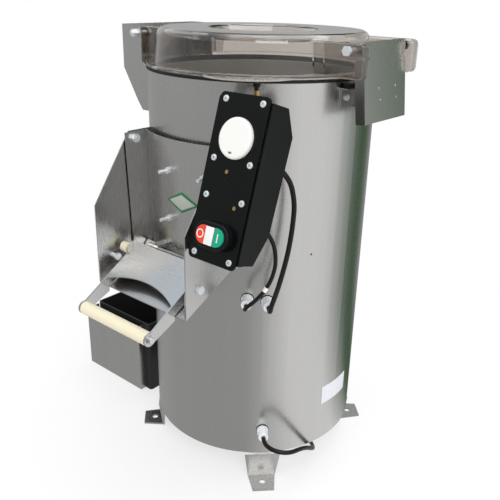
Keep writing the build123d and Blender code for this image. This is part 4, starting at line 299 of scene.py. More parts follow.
# ---------------------------------------------------------------- finishes
def sheet_steel(name, colour, grain, rough=0.25, relief=0.008):
    """Satin sheet: fine lines along one direction, slow cloudiness and faint handling marks."""
    finish = Finish(name, Metallic=1.0)
    lines = finish.noise(finish.place(grain), 1.0, 4.0, 0.65)
    broad = finish.noise(finish.place(tuple(part / 14 for part in grain)), 1.0, 2.0)
    cloud = finish.noise(finish.place((3, 3, 2)), 1.4, 3.0)
    marks = finish.noise(finish.place((16, 16, 12), (0.3, 0.2, 0.1)), 1.0, 5.0, 0.7)
    tone = (lines + broad + cloud) * 0.204
    finish.feed("Base Color", finish.mix(tone, shade(colour, 1.08), shade(colour, 0.80)))
    finish.feed("Roughness", finish.between(lines * 0.3 + broad * 0.3 + marks * 0.2,
                                            rough - 0.04, rough + 0.12))
    finish.bump(lines, relief, 0.0002)
    return finish.material


def clear_plastic(name, tint):
    """Clear moulding with a slight tint, faint haze and fine rubbed marks."""
    finish = Finish(name, Transmission_Weight=1.0, IOR=1.12, Coat_Weight=1.0, Coat_IOR=1.5,
                    Coat_Roughness=0.03)
    haze = finish.noise(finish.place((14, 14, 14)), 1.0, 4.0)
    rubs = finish.noise(finish.place((60, 400, 60), (0.2, 0.5, 0.3)), 1.0, 3.0)
    finish.feed("Base Color", finish.mix(haze, tint, shade(tint, 0.94)))
    finish.feed("Roughness", finish.between(rubs * haze, 0.01, 0.09))
    finish.bump(finish.noise(finish.place((22, 22, 22)), 1.0, 1.0), 0.04, 0.001)
    return finish.material


def plain_card(name, colour):
    """A glow of one colour."""
    finish = Finish(name, Roughness=1.0, Emission_Strength=1.0, Specular_IOR_Level=0.0)
    finish.feed("Base Color", (0, 0, 0))
    finish.feed("Emission Color", colour)
    return finish.material


def round_card(name, tones):
    """A glow that changes only with the direction from the middle."""
    finish = Finish(name, Roughness=1.0, Emission_Strength=1.0, Specular_IOR_Level=0.0)
    finish.feed("Base Color", (0, 0, 0))
    place = finish.place()
    parts = [finish.node("ShaderNodeSeparateXYZ", None, [place], output=axis) for axis in "XY"]
    turn = finish.node("ShaderNodeMath", {"operation": "ARCTAN2"}, [parts[0], parts[1] * -1])
    finish.feed("Emission Color", finish.ramp(turn * (0.5 / math.pi) + 0.5, tones))
    return finish.material


def moulded(name, colour, rough=0.4, grain=900.0, depth=0.1, wear=0.12, **constants):
    """Moulded plastic or rubber: fine grain, slow change of tone and handled patches."""
    finish = Finish(name, **constants)
    fine = finish.noise(finish.place(), grain, 2.0)
    slow = finish.noise(finish.place(), 9.0, 4.0)
    finish.feed("Base Color", finish.mix(slow, shade(colour, 1 + wear), shade(colour, 1 - wear)))
    finish.feed("Roughness", finish.between(slow * 0.6 + fine * 0.4, rough - 0.08, rough + 0.1))
    finish.bump(fine, depth, 0.0003)
    return finish.material


def bright_metal(name, colour, rough=0.22, speck=260.0):
    """Plated or turned small metal parts with a little tarnish."""
    finish = Finish(name, Metallic=1.0)
    spots = finish.noise(finish.place(), speck, 3.0)
    slow = finish.noise(finish.place(), 40.0, 3.0)
    finish.feed("Base Color", finish.mix(slow, shade(colour, 1.05), shade(colour, 0.78)))
    finish.feed("Roughness", finish.between(spots, rough - 0.06, rough + 0.16))
    finish.bump(spots, 0.08, 0.0002)
    return finish.material


def cast_metal(name, colour):
    """Rough cast surface with a sandy skin."""
    finish = Finish(name, Metallic=1.0)
    sand = finish.noise(finish.place(), 420.0, 4.0, 0.7)
    slow = finish.noise(finish.place(), 16.0, 3.0)
    finish.feed("Base Color", finish.mix(slow, shade(colour, 1.1), shade(colour, 0.75)))
    finish.feed("Roughness", finish.between(sand, 0.38, 0.62))
    finish.bump(sand, 0.35, 0.0006)
    return finish.material


def grit(name, colour):
    """Bonded abrasive: dark stone with pale sparkling grains."""
    finish = Finish(name)
    grains = finish.node("ShaderNodeTexVoronoi", None, {"Vector": finish.place(), "Scale": 380.0})
    rough = finish.noise(finish.place(), 130.0, 5.0, 0.7)
    finish.feed("Base Color", finish.mix(grains ** 2 * rough * 1.6, colour, shade(colour, 3.2)))
    finish.feed("Roughness", finish.between(rough, 0.7, 0.95))
    finish.bump(grains * 0.7 + rough * 0.3, 0.8, 0.0012)
    return finish.material


def painted(name, colour):
    """Semi-gloss paint on metal with a light orange-peel surface."""
    finish = Finish(name, Coat_Roughness=0.15)
    peel = finish.noise(finish.place(), 220.0, 2.0)
    slow = finish.noise(finish.place(), 12.0, 4.0)
    finish.feed("Base Color", finish.mix(slow, shade(colour, 1.15), shade(colour, 0.85)))
    finish.feed("Roughness", finish.between(slow, 0.32, 0.48))
    finish.feed("Coat Weight", finish.between(slow, 0.1, 0.3))
    finish.bump(peel, 0.12, 0.0004)
    return finish.material


def paper(name, colour):
    """Matt label stock with a faint fibre."""
    finish = Finish(name)
    fibre = finish.noise(finish.place((1, 1, 3)), 500.0, 3.0)
    slow = finish.noise(finish.place(), 30.0, 2.0)
    finish.feed("Base Color", finish.mix(slow, colour, shade(colour, 0.93)))
    finish.feed("Roughness", finish.between(fibre, 0.5, 0.7))
    finish.bump(fibre, 0.06, 0.0002)
    return finish.material


def make_finishes(settings):
    """Every finish by the name of its slot, and a few for small fittings."""
    steel = tuple(settings.steel)
    upright = (420, 420, 5)
    return {
        "stainless": sheet_steel("satin_steel", steel, upright),
        "stainless_flat": sheet_steel("satin_steel_flat", steel, (5, 300, 300), 0.24, 0.002),
        # Painted light: the liner steel is 1.25 times lighter than the outer steel, making up for an
        # inside lit only through the lid.
        "stainless_inner": sheet_steel("liner_steel_painted_bright", shade(steel, 1.25), upright, 0.30),
        "lid_plastic": clear_plastic("clear_lid_plastic", tuple(settings.lid_tint)),
        "black_rubber": moulded("black_rubber", (0.009, 0.009, 0.010), 0.62, 700.0, 0.2,
                                Specular_IOR_Level=0.25),
        "black_plastic": moulded("switch_black_plastic", (0.006, 0.006, 0.007), 0.3, 900.0, 0.05,
                                 Specular_IOR_Level=0.2),
        "box_black": moulded("box_black_plastic", tuple(settings.box_black), 0.34, 1100.0, 0.08,
                             Specular_IOR_Level=0.08, Coat_Weight=0.3, Coat_Roughness=0.06),
        "bolt_steel": bright_metal("zinc_plated_steel", (0.74, 0.76, 0.78)),
        "cream_plastic": moulded("cream_plastic", tuple(settings.grip_cream), 0.42, 500.0, 0.05, 0.05,
                                 Subsurface_Weight=0.05),
        "white_plastic": moulded("white_plastic", (0.79, 0.79, 0.77), 0.35, 700.0, 0.03, 0.02),
        "red_plastic": moulded("red_plastic", tuple(settings.stop_red), 0.25, 800.0, 0.02, 0.05),
        "green_plastic": moulded("green_plastic", tuple(settings.start_green), 0.25, 800.0, 0.02, 0.05),
        "grey_plastic": moulded("pale_grey_plastic", (0.68, 0.70, 0.71), 0.38, 800.0, 0.04, 0.04),
        "cord_black": moulded("lead_jacket", (0.007, 0.007, 0.007), 0.42, 800.0, 0.12,
                              Specular_IOR_Level=0.25),
        "pale_zinc": moulded("pale_zinc_plating", (0.68, 0.72, 0.74), 0.28, 700.0, 0.05, 0.1,
                             Metallic=0.45),
        "gland_white": moulded("gland_white", (0.80, 0.83, 0.86), 0.36, 800.0, 0.04, 0.04),
        "cast_aluminium": cast_metal("cast_aluminium", (0.62, 0.63, 0.64)),
        "abrasive": grit("abrasive_grit", (0.10, 0.095, 0.09)),
        "steel_dark": bright_metal("turned_steel", (0.42, 0.43, 0.45), 0.3),
        "motor_paint": painted("motor_paint", (0.10, 0.14, 0.20)),
        "belt_rubber": moulded("belt_rubber", (0.02, 0.02, 0.02), 0.7, 500.0, 0.3),
        "bin_black": moulded("bin_black_plastic", (0.014, 0.014, 0.016), 0.5, 500.0, 0.25),
        "brass": bright_metal("dull_brass", (0.62, 0.45, 0.20), 0.3),
        "badge_green": moulded("badge_green", (0.02, 0.16, 0.07), 0.3, 700.0, 0.03),
        "badge_face": moulded("badge_pale", (0.40, 0.43, 0.37), 0.35, 240.0, 0.03, 0.16),
        "label": paper("bare_label", (0.78, 0.79, 0.84)),
    }


FINISHES = {}
OTHER_FINISH = {"lever_plate": "stainless_flat", "chute_floor": "stainless_flat",
                "cable_glands": "gland_white", "plunger_guide": "brass", "door_studs": "pale_zinc",
                "frame_bolts": "pale_zinc", "plate_screws": "pale_zinc", "latch_bolts": "pale_zinc",
                "hinge_pivot_bolts": "pale_zinc"}


# ---------------------------------------------------------------- modelling helpers
def deselect():
    if bpy.context.object and bpy.context.object.mode != "OBJECT":
        bpy.ops.object.mode_set(mode="OBJECT")
    bpy.ops.object.select_all(action="DESELECT")


def pick(piece):
    """Makes one piece the only selected one, and the active one."""
    deselect()
    piece.select_set(True)
    bpy.context.view_layer.objects.active = piece


def edit_whole(piece):
    """Goes into edit mode with all of the piece selected."""
    pick(piece)
    bpy.ops.object.mode_set(mode="EDIT")
    bpy.ops.mesh.select_all(action="SELECT")


def added(name):
    """The primitive that was just added, named."""
    piece = bpy.context.object
    piece.name = name
    piece.data.name = name
    return piece


def disc_blank(name, radius, depth, sides=48):
    """A round blank standing on its own origin, ready to be shaped."""
    deselect()
    bpy.ops.mesh.primitive_cylinder_add(vertices=sides, radius=radius, depth=depth,
                                        location=(0, 0, depth / 2))
    bpy.ops.object.transform_apply(location=True, rotation=True, scale=True)
    return added(name)


def box_blank(name, size):
    """A block standing on its own origin."""
    deselect()
    bpy.ops.mesh.primitive_cube_add(size=1, location=(0, 0, size[2] / 2), scale=size)
    bpy.ops.object.transform_apply(location=True, rotation=True, scale=True)
    return added(name)


def ring_blank(name, radius, section, sides=64, around=16):
    """A torus lying on its own origin."""
    deselect()
    bpy.ops.mesh.primitive_torus_add(major_radius=radius, minor_radius=section,
                                     major_segments=sides, minor_segments=around)
    return added(name)


def select_faces(piece, wanted):
    """Goes into edit mode with only the wanted faces selected."""
    pick(piece)
    bpy.ops.object.mode_set(mode="EDIT")
    bpy.ops.mesh.select_mode(type="FACE")
    bpy.ops.mesh.select_all(action="DESELECT")
    bpy.ops.object.mode_set(mode="OBJECT")
    for face in piece.data.polygons:
        face.select = wanted(face)
    bpy.ops.object.mode_set(mode="EDIT")


def leave_edit():
    bpy.ops.object.mode_set(mode="OBJECT")


def recess_top(piece, rim, depth):
    """Insets the upper face and sinks it."""
    top = max(vertex.co.z for vertex in piece.data.vertices)
    select_faces(piece, lambda face: face.normal.z > 0.9 and face.center.z > top - 1e-6)
    bpy.ops.mesh.inset(thickness=rim)
    bpy.ops.mesh.extrude_region_move(TRANSFORM_OT_translate={"value": (0, 0, -depth)})
    leave_edit()


def soften(piece, width, segments=2, angle=math.radians(35)):
    """Rounds the sharp edges and smooths the rest."""
    pick(piece)
    bevel = piece.modifiers.new("edges", "BEVEL")
    bevel.width = width
    bevel.segments = segments
    bevel.limit_method = "ANGLE"
    bevel.angle_limit = angle
    bpy.ops.object.modifier_apply(modifier=bevel.name)
    bpy.ops.object.shade_smooth_by_angle(angle=math.radians(40))


def squash_z(piece, factor):
    """Flattens a piece along its own Z."""
    pick(piece)
    bpy.ops.transform.resize(value=(1, 1, factor))
    bpy.ops.object.transform_apply(location=False, rotation=False, scale=True)


def set_down(piece, matrix):
    """Puts the piece in its place in the shared frame, with the place in its mesh."""
    pick(piece)
    piece.matrix_world = matrix @ piece.matrix_world
    bpy.ops.object.transform_apply(location=True, rotation=True, scale=True)


def joined(pieces, name):
    """Makes one piece of several."""
    deselect()
    for piece in pieces:
        piece.select_set(True)
    bpy.context.view_layer.objects.active = pieces[0]
    if len(pieces) > 1:
        bpy.ops.object.join()
    return added(name)


def give(piece, body, slot, finish=None):
    """Hands a finished piece its body and its finish, which is the slot's own unless another is named."""
    piece.data.materials.clear()
    piece.data.materials.append(FINISHES[finish or slot])
    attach(piece, body)
    return piece


def frame_matrix(origin, x_axis, z_axis):
    """A matrix from an origin, an X direction and a Z direction."""
    z_dir = Vector(z_axis).normalized()
    x_dir = (Vector(x_axis) - Vector(x_axis).dot(z_dir) * z_dir).normalized()
    y_dir = z_dir.cross(x_dir)
    turn = Matrix((x_dir, y_dir, z_dir)).transposed().to_4x4()
    return Matrix.Translation(Vector(origin)) @ turn


def on_box(x, s, lift=0.0):
    """A place on the control box's sloping front; s runs up the slope."""
    up = Vector((0, math.sin(BOX_TILT), math.cos(BOX_TILT)))
    out = Vector((0, -math.cos(BOX_TILT), math.sin(BOX_TILT)))
    return frame_matrix(BOX_DATUM + Vector((x, 0, 0)) + up * s + out * lift, (1, 0, 0), out)


def around(degrees, radius, z):
    """A point at an angle from -Y towards +X."""
    turn = math.radians(degrees)
    return Vector((radius * math.sin(turn), -radius * math.cos(turn), z))


def on_drum(degrees, z, lift=0.0):
    """A place on the drum whose Z points away from its axis."""
    out = around(degrees, 1.0, 0.0)
    return frame_matrix(around(degrees, DRUM_R + lift, z), (0, 0, 1), out)


def on_latch(y, drop):
    """A place on the latch's outer face."""
    cos, sin = math.cos(LATCH_TILT), math.sin(LATCH_TILT)
    origin = LATCH_PIVOT + Vector((LATCH_REACH * cos + drop * sin, y, LATCH_REACH * sin - drop * cos))
    return frame_matrix(origin, (0, 1, 0), (cos, 0, sin))


def wrap_grid(name, width, height, across, up, radius, thick):
    """A thin sheet curved round the drum's axis, facing -Y."""
    deselect()
    bpy.ops.mesh.primitive_grid_add(x_subdivisions=across, y_subdivisions=up, size=1)
    piece = added(name)
    for vertex in piece.data.vertices:
        turn = vertex.co.x * width / radius
        vertex.co = around(math.degrees(turn), radius, vertex.co.y * height)
    wall = piece.modifiers.new("wall", "SOLIDIFY")
    wall.thickness = thick
    wall.offset = 1
    pick(piece)
    bpy.ops.object.modifier_apply(modifier=wall.name)
    return piece


# ---------------------------------------------------------------- operators
class PEELER_OT_stage(bpy.types.Operator):
    """Lay the pale floor, stand up the reflection cards and set the camera and soft lights"""
    bl_idname = "peeler.stage"
    bl_label = "Stage"

    def execute(self, context):
        self.add_camera(context)
        self.add_floor()
        self.add_cards()
        self.add_world(context)
        for name, at, size, power in LIGHTS:
            self.add_light(context, name, Vector(at), size, power)
        context.scene.view_settings.view_transform = "Standard"
        return {"FINISHED"}

    def add_camera(self, context):
        camera = bpy.data.objects.new("camera", bpy.data.cameras.new("camera"))
        camera.data.sensor_width = SENSOR_WIDTH
        camera.data.lens = FOCAL_PIXELS / PICTURE_PIXELS * SENSOR_WIDTH
        aim = Euler((math.pi / 2 - CAMERA_PITCH, 0, CAMERA_HEADING)).to_matrix()
        turn = aim @ Euler((0, 0, CAMERA_ROLL)).to_matrix()
        camera.matrix_world = Matrix.Translation(CAMERA_AT) @ turn.to_4x4()
        context.scene.collection.objects.link(camera)
        context.scene.camera = camera

    def add_floor(self):
        deselect()
        bpy.ops.mesh.primitive_plane_add(size=FLOOR_SIZE)
        floor = added("floor")
        finish = Finish("pale_floor")
        cloud = finish.noise(finish.place(), 1.5, 2.0)
        finish.feed("Base Color", finish.mix(cloud, (0.93, 0.93, 0.93), (0.91, 0.91, 0.91)))
        finish.feed("Roughness", finish.between(cloud, 0.85, 0.95))
        camera_ray, other_ray = finish.rays()
        away = finish.node("ShaderNodeVectorMath", {"operation": "LENGTH"}, [finish.place()], output=1)
        fade = finish.node("ShaderNodeMapRange", None,
                           {"Value": away, "From Min": SHADOW_R, "From Max": PLAIN_FLOOR_R,
                            "To Min": 0.62, "To Max": 1.0})
        finish.glow_where(camera_ray * fade + other_ray)
        floor.data.materials.append(finish.material)

    def add_cards(self):
        """A grey wall with a white sheet and a green cloth, and two cards above, for reflections only."""
        deselect()
        bpy.ops.mesh.primitive_cylinder_add(vertices=96, radius=WALL_R, depth=WALL_HEIGHT,
                                            end_fill_type="NGON")
        bpy.ops.transform.translate(value=(0, 0, WALL_HEIGHT / 2 + WALL_LIFT))
        bpy.ops.object.transform_apply(location=True, rotation=True, scale=True)
        wall = added("reflection_wall")
        select_faces(wall, lambda face: face.normal.z > 0.9)
        bpy.ops.mesh.delete(type="ONLY_FACE")
        leave_edit()
        wall.data.materials.append(round_card("reflection_card", WALL_TONES))
        self.only_reflected(wall)
        for name, at, size, stretch, colour in CARDS:
            self.add_card(name, Vector(at), size, stretch, colour)

    def add_card(self, name, at, size, stretch, colour):
        """A flat card that faces the lid."""
        deselect()
        bpy.ops.mesh.primitive_plane_add(size=size)
        card = added(name)
        set_down(card, Matrix.Diagonal((stretch, 1.0, 1.0, 1.0)))
        aim = CARD_AIM - at
        set_down(card, frame_matrix(at, aim.cross(Vector((0, 0, 1))), aim))
        card.data.materials.append(plain_card(name, colour))
        self.only_reflected(card)

    def only_reflected(self, card):
        """Hides a card from every ray but a reflected one."""
        card.visible_camera = False
        card.visible_diffuse = False
        card.visible_transmission = False
        card.visible_shadow = False

    def add_world(self, context):
        """Soft grey light all round, and white where the camera or a reflection looks."""
        world = bpy.data.worlds.new("studio")
        context.scene.world = world
        world.use_nodes = True
        tree = world.node_tree
        back = tree.nodes["Background"]
        back.inputs["Color"].default_value = (0.60, 0.60, 0.60, 1)
        white = tree.nodes.new("ShaderNodeBackground")
        white.inputs["Color"].default_value = (1, 1, 1, 1)
        rays = tree.nodes.new("ShaderNodeLightPath")
        mix = tree.nodes.new("ShaderNodeMixShader")
        seen = rays.outputs["Is Camera Ray"]
        for name in ("Is Glossy Ray", "Is Transmission Ray"):
            either = tree.nodes.new("ShaderNodeMath")
            either.operation = "MAXIMUM"
            tree.links.new(seen, either.inputs[0])
            tree.links.new(rays.outputs[name], either.inputs[1])
            seen = either.outputs[0]
        tree.links.new(seen, mix.inputs[0])
        tree.links.new(back.outputs[0], mix.inputs[1])
        tree.links.new(white.outputs[0], mix.inputs[2])
        tree.links.new(mix.outputs[0], tree.nodes["World Output"].inputs["Surface"])

    def add_light(self, context, name, at, size, power):
        data = bpy.data.lights.new(name, "AREA")
        data.shape = "SQUARE"
        data.size = size
        data.energy = power
        light = bpy.data.objects.new(name, data)
        aim = LIGHT_AIM - at
        light.matrix_world = Matrix.Translation(at) @ aim.to_track_quat("-Z", "Y").to_matrix().to_4x4()
        context.scene.collection.objects.link(light)


class PEELER_OT_mains_lead(bpy.types.Operator):
    """Lay the mains lead from its gland, under the drum, to its stored coil and plug"""
    bl_idname = "peeler.mains_lead"
    bl_label = "Mains lead"

    def execute(self, context):
        settings = context.scene.peeler
        exit_point = around(MAINS_GLAND[0], DRUM_R + WALL_GAP + GLAND_REACH, MAINS_GLAND[1])
        points = self.route(exit_point) + self.coil(settings.coil_points) + self.tail()
        curve = bpy.data.curves.new("mains_lead", "CURVE")
        curve.dimensions = "3D"
        curve.bevel_depth = CORD_R
        curve.bevel_resolution = 5
        curve.resolution_u = 8
        curve.use_fill_caps = True
        line = curve.splines.new("NURBS")
        line.points.add(len(points) - 1)
        for point, place in zip(line.points, points):
            point.co = (*place, 1)
        line.order_u = 3
        line.use_endpoint_u = True
        lead = bpy.data.objects.new("mains_lead", curve)
        context.scene.collection.objects.link(lead)
        give(lead, "frame", "cord_black")
        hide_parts("mains_cord", "mains_coil")
        self.measure(lead)
        return {"FINISHED"}

    def route(self, exit_point):
        """The stretch from the gland to the coil, point by point."""
        out = around(MAINS_GLAND[0], 14 * MM, 0.0)
        stub_x = COIL_AT.x + COIL_TURN_R
        by_hand = [(181.5, -175, 114), (196, -172.5, 113), (208, -163.5, 111), (214, -149, 107),
                   (213.5, -125, 99), (210, -98, 84), (204, -69, 61), (189, -42, 38),
                   (167, -15, 21), (139, 9, 9), (107, 34, 4.2), (67, 66, 4.2), (26, 105, 4.2)]
        return ([exit_point, exit_point + out] + [Vector(point) * MM for point in by_hand]
                + [Vector((stub_x, COIL_RUN_Y, CORD_LIFT)),
                   Vector((stub_x, COIL_AT.y - COIL_LEAD_IN, CORD_LIFT))])

    def coil(self, per_turn):
        """Two turns inwards on the floor, then two turns outwards on top of them."""
        layer = 2 * CORD_R
        top_start = COIL_LAYER_TURNS + COIL_CLIMB_TURNS
        all_turns = top_start + COIL_LAYER_TURNS
        swell = 1 / math.cos(math.pi / per_turn)
        places = []
        for index in range(int(all_turns * per_turn) + 1):
            turns = index / per_turn
            if turns < COIL_LAYER_TURNS:
                radius, height = COIL_TURN_R - COIL_PITCH * turns, CORD_LIFT
            elif turns < top_start:
                radius = COIL_TURN_R - COIL_LAYER_TURNS * COIL_PITCH
                height = CORD_LIFT + layer * (turns - COIL_LAYER_TURNS) / COIL_CLIMB_TURNS
            else:
                radius, height = COIL_TURN_R - COIL_PITCH * (all_turns - turns), CORD_LIFT + layer
            turn = 2 * math.pi * turns
            places.append(COIL_AT + Vector((radius * swell * math.cos(turn),
                                            radius * swell * math.sin(turn), height)))
        return places

    def tail(self):
        """From the top of the coil down to the plug."""
        side = COIL_AT.y + COIL_TURN_R
        high = CORD_LIFT + 2 * CORD_R
        return [Vector((COIL_AT.x - 34 * MM, side, high)),
                Vector((COIL_AT.x - 58 * MM, side, PLUG_LIFT)),
                Vector((COIL_AT.x - 80 * MM, side, PLUG_LIFT))]

    def measure(self, lead):
        """Length of the lead's own line."""
        bare = lead.data.copy()
        bare.bevel_depth = 0
        probe = bpy.data.objects.new("probe", bare)
        bpy.context.scene.collection.objects.link(probe)
        bpy.context.view_layer.update()
        shape = probe.evaluated_get(bpy.context.evaluated_depsgraph_get())
        mesh = bpy.data.meshes.new_from_object(shape)
        length = sum((mesh.vertices[edge.vertices[0]].co - mesh.vertices[edge.vertices[1]].co).length
                     for edge in mesh.edges)
        bpy.data.objects.remove(probe)
        bpy.data.meshes.remove(mesh)
        return length


class PEELER_OT_finishes(bpy.types.Operator):
    """Give every constructed piece its finish"""
    bl_idname = "peeler.finishes"
    bl_label = "Finishes"

    def execute(self, context):
        FINISHES.update(make_finishes(context.scene.peeler))
        for part in frame["record"]["subparts"]:
            node = frame["nodes"][part["node"]]
            node.data.materials.clear()
            finish = OTHER_FINISH.get(part["node"], part["material_slot"])
            node.data.materials.append(FINISHES[finish])
        return {"FINISHED"}


class PEELER_OT_door_badge(bpy.types.Operator):
    """Fix the bare rhombus badge on the door"""
    bl_idname = "peeler.door_badge"
    bl_label = "Door badge"

    def execute(self, context):
        settings = context.scene.peeler
        width, height = settings.badge_width, settings.badge_height
        rim = self.rhombus("door_badge_rim", width, height, 0.8 * MM)
        give(rim, "door", "green_plastic", "badge_green")
        face = self.rhombus("door_badge_face", width * 0.80, height * 0.74, 1.5 * MM)
        give(face, "door", "white_plastic", "badge_face")
        return {"FINISHED"}

    def rhombus(self, name, width, height, thick):
        """A four-sided plate with soft corners, bent to the door."""
        deselect()
        bpy.ops.mesh.primitive_circle_add(vertices=4, radius=0.5, fill_type="NGON")
        piece = added(name)
        bpy.ops.object.mode_set(mode="EDIT")
        bpy.ops.mesh.bevel(offset=0.03, segments=4, affect="VERTICES")
        bpy.ops.mesh.extrude_region_move(TRANSFORM_OT_translate={"value": (0, 0, 1)})
        leave_edit()
        for step in range(-9, 10):
            edit_whole(piece)
            bpy.ops.mesh.bisect(plane_co=(step * BADGE_SLICE, 0, 0), plane_no=(1, 0, 0))
            leave_edit()
        for vertex in piece.data.vertices:
            turn = vertex.co.x * width / DOOR_R
            radius = DOOR_R + vertex.co.z * thick
            vertex.co = around(math.degrees(turn) + BADGE_TURN, radius,
                               BADGE_Z + vertex.co.y * height)
        edit_whole(piece)
        bpy.ops.mesh.normals_make_consistent(inside=False)
        leave_edit()
        soften(piece, 0.25 * MM)
        return piece


class PEELER_OT_drum_label(bpy.types.Operator):
    """Stick the bare label low on the drum, and lay a black disc above it as painted shade for the small
    vent hole
    """
    bl_idname = "peeler.drum_label"
    bl_label = "Drum label"

    def execute(self, context):
        settings = context.scene.peeler
        label = wrap_grid("drum_label", settings.label_width, settings.label_height, 24, 4,
                          DRUM_R + 0.15 * MM, 0.2 * MM)
        turn = Matrix.Rotation(math.radians(LABEL_TURN), 4, "Z")
        set_down(label, Matrix.Translation((0, 0, LABEL_Z)) @ turn)
        give(label, "frame", "white_plastic", "label")
        # Painted shade: the vent hole is a black disc on the drum, dark like the inside of a hole; no
        # hole is cut.
        vent = disc_blank("drum_vent_hole_painted_shade", 1.6 * MM, 0.3 * MM, 20)
        recess_top(vent, 0.5 * MM, 0.15 * MM)
        soften(vent, 0.1 * MM)
        set_down(vent, on_drum(VENT_TURN, VENT_Z, 0.05 * MM))
        give(vent, "frame", "black_rubber")
        return {"FINISHED"}


class PEELER_OT_button_marks(bpy.types.Operator):
    """Set the ring and bar marks into the stop and start buttons"""
    bl_idname = "peeler.button_marks"
    bl_label = "Button marks"

    def execute(self, context):
        ring = ring_blank("stop_ring", STOP_RING_R, STOP_RING_SECTION, 40, 10)
        squash_z(ring, 0.35)
        set_down(ring, on_box(SWITCH_AT[0] + STOP_RING_X, SWITCH_AT[1], BUTTON_TOP))
        bpy.ops.object.shade_smooth()
        give(ring, "button_off", "white_plastic")
        bar = box_blank("start_bar", START_BAR)
        soften(bar, 0.1 * MM)
        set_down(bar, on_box(SWITCH_AT[0] + START_BAR_X, SWITCH_AT[1], BUTTON_TOP))
        give(bar, "button_on", "white_plastic")
        lens = box_blank("switch_lens", LENS)
        soften(lens, 0.25 * MM)
        set_down(lens, on_box(SWITCH_AT[0], SWITCH_AT[1], BUTTON_TOP - LENS_SINK))
        give(lens, "frame", "white_plastic")
        return {"FINISHED"}


class PEELER_OT_knob_mark(bpy.types.Operator):
    """Inlay the small brass-coloured mark near the timer knob's lower edge"""
    bl_idname = "peeler.knob_mark"
    bl_label = "Knob mark"

    def execute(self, context):
        mark = disc_blank("knob_brass_mark", KNOB_MARK_R, 0.3 * MM, 24)
        set_down(mark, Matrix.Diagonal((KNOB_MARK_STRETCH, 1.0, 1.0, 1.0)))
        soften(mark, 0.08 * MM)
        set_down(mark, on_box(KNOB_AT[0] + KNOB_MARK_OFF[0], KNOB_AT[1] + KNOB_MARK_OFF[1],
                              KNOB_TOP - 0.15 * MM))
        give(mark, "timer_knob", "cream_plastic", "brass")
        return {"FINISHED"}


class PEELER_OT_box_fittings(bpy.types.Operator):
    """Add the brass inserts and blind dimples on the control box's plate, and darker steel crosses on its
    screws as painted shade for their driver slots
    """
    bl_idname = "peeler.box_fittings"
    bl_label = "Box fittings"

    def execute(self, context):
        inserts = [self.insert(x, s) for x, s in INSERTS]
        give(joined(inserts, "plate_inserts"), "frame", "bolt_steel", "brass")
        dimples = [self.dimple(x, s) for x, s in DIMPLES]
        give(joined(dimples, "plate_dimples"), "frame", "box_black")
        # Painted shade: the driver slots are darker steel crosses set into the screw heads, standing for
        # the shade in their recesses.
        slots = [self.cross(x, s) for x in SCREW_X for s in SCREW_S]
        give(joined(slots, "screw_slots_painted_shade"), "frame", "steel_dark")
        return {"FINISHED"}

    def insert(self, x, s):
        """A flanged insert with a hole."""
        piece = disc_blank("insert", 2.9 * MM, 0.9 * MM, 28)
        recess_top(piece, 1.3 * MM, 0.8 * MM)
        soften(piece, 0.2 * MM)
        set_down(piece, on_box(x, s))
        return piece

    def dimple(self, x, s):
        """A shallow ring round a blanked hole."""
        piece = disc_blank("dimple", 3.4 * MM, 0.4 * MM, 28)
        recess_top(piece, 0.7 * MM, 0.35 * MM)
        soften(piece, 0.12 * MM)
        set_down(piece, on_box(x, s))
        return piece

    def cross(self, x, s):
        """A darker steel cross set into the top of one screw, as painted shade for its driver recess."""
        bars = []
        turn = Matrix.Rotation(x * 90 + s * 70, 4, "Z")
        for angle in (0, math.pi / 2):
            bar = box_blank("slot", DRIVER_SLOT)
            soften(bar, 0.08 * MM, 1)
            set_down(bar, on_box(x, s, SCREW_TOP - SLOT_SINK) @ turn @ Matrix.Rotation(angle, 4, "Z"))
            bars.append(bar)
        return joined(bars, "slot")


class PEELER_OT_gland_rings(bpy.types.Operator):
    """Seat a black ring behind each cable gland"""
    bl_idname = "peeler.gland_rings"
    bl_label = "Gland rings"

    def execute(self, context):
        rings = []
        for degrees, z in GLANDS:
            ring = ring_blank("ring", GLAND_RING_R, 1.0 * MM, 48, 12)
            squash_z(ring, 0.8)
            bpy.ops.object.shade_smooth()
            set_down(ring, on_drum(degrees, z, 1.0 * MM))
            rings.append(ring)
        give(joined(rings, "gland_black_rings"), "frame", "black_rubber")
        return {"FINISHED"}


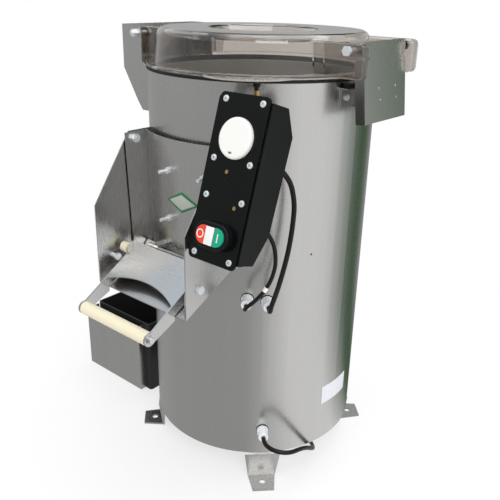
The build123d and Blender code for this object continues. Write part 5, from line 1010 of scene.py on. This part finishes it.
class PEELER_OT_lead_marker(bpy.types.Operator):
    """Slip the white marker sleeve on the thinner lead"""
    bl_idname = "peeler.lead_marker"
    bl_label = "Lead marker"

    def execute(self, context):
        along = MARKER_HIGH - MARKER_LOW
        sleeve = disc_blank("lead_marker", 4.0 * MM, 8.0 * MM, 32)
        select_faces(sleeve, lambda face: abs(face.normal.z) > 0.9)
        bpy.ops.mesh.inset(thickness=0.4 * MM)
        leave_edit()
        soften(sleeve, 0.3 * MM)
        set_down(sleeve, frame_matrix(MARKER_LOW + along * 0.25, (0, 0, 1), along))
        give(sleeve, "frame", "white_plastic")
        return {"FINISHED"}


class PEELER_OT_weld_dots(bpy.types.Operator):
    """Raise the four weld dots of the latch's hook"""
    bl_idname = "peeler.weld_dots"
    bl_label = "Weld dots"

    def execute(self, context):
        dots = []
        for y, drop in WELD_DOTS:
            dot = disc_blank("dot", 1.7 * MM, 0.5 * MM, 20)
            soften(dot, 0.4 * MM, 3)
            set_down(dot, on_latch(y, drop))
            dots.append(dot)
        give(joined(dots, "latch_weld_dots"), "latch", "bolt_steel")
        return {"FINISHED"}


OPERATORS = (PEELER_OT_stage, PEELER_OT_finishes, PEELER_OT_mains_lead, PEELER_OT_door_badge,
             PEELER_OT_drum_label, PEELER_OT_button_marks, PEELER_OT_knob_mark,
             PEELER_OT_box_fittings, PEELER_OT_gland_rings, PEELER_OT_lead_marker,
             PEELER_OT_weld_dots)


class PEELER_PT_panel(bpy.types.Panel):
    """Lists the peeler's operators and settings"""
    bl_label = "Peeler"
    bl_idname = "PEELER_PT_panel"
    bl_space_type = "VIEW_3D"
    bl_region_type = "UI"
    bl_category = "Peeler"

    def draw(self, context):
        for operator in OPERATORS:
            self.layout.operator(operator.bl_idname)
        for name in PeelerSettings.__annotations__:
            self.layout.prop(context.scene.peeler, name)


CLASSES = (PeelerSettings, *OPERATORS, PEELER_PT_panel)


def register():
    for item in CLASSES:
        bpy.utils.register_class(item)
    bpy.types.Scene.peeler = PointerProperty(type=PeelerSettings)


def unregister():
    del bpy.types.Scene.peeler
    for item in reversed(CLASSES):
        bpy.utils.unregister_class(item)


def main():
    register()
    for operator in OPERATORS:
        group, name = operator.bl_idname.split(".")
        getattr(getattr(bpy.ops, group), name)()


if __name__ == "__main__":
    main()
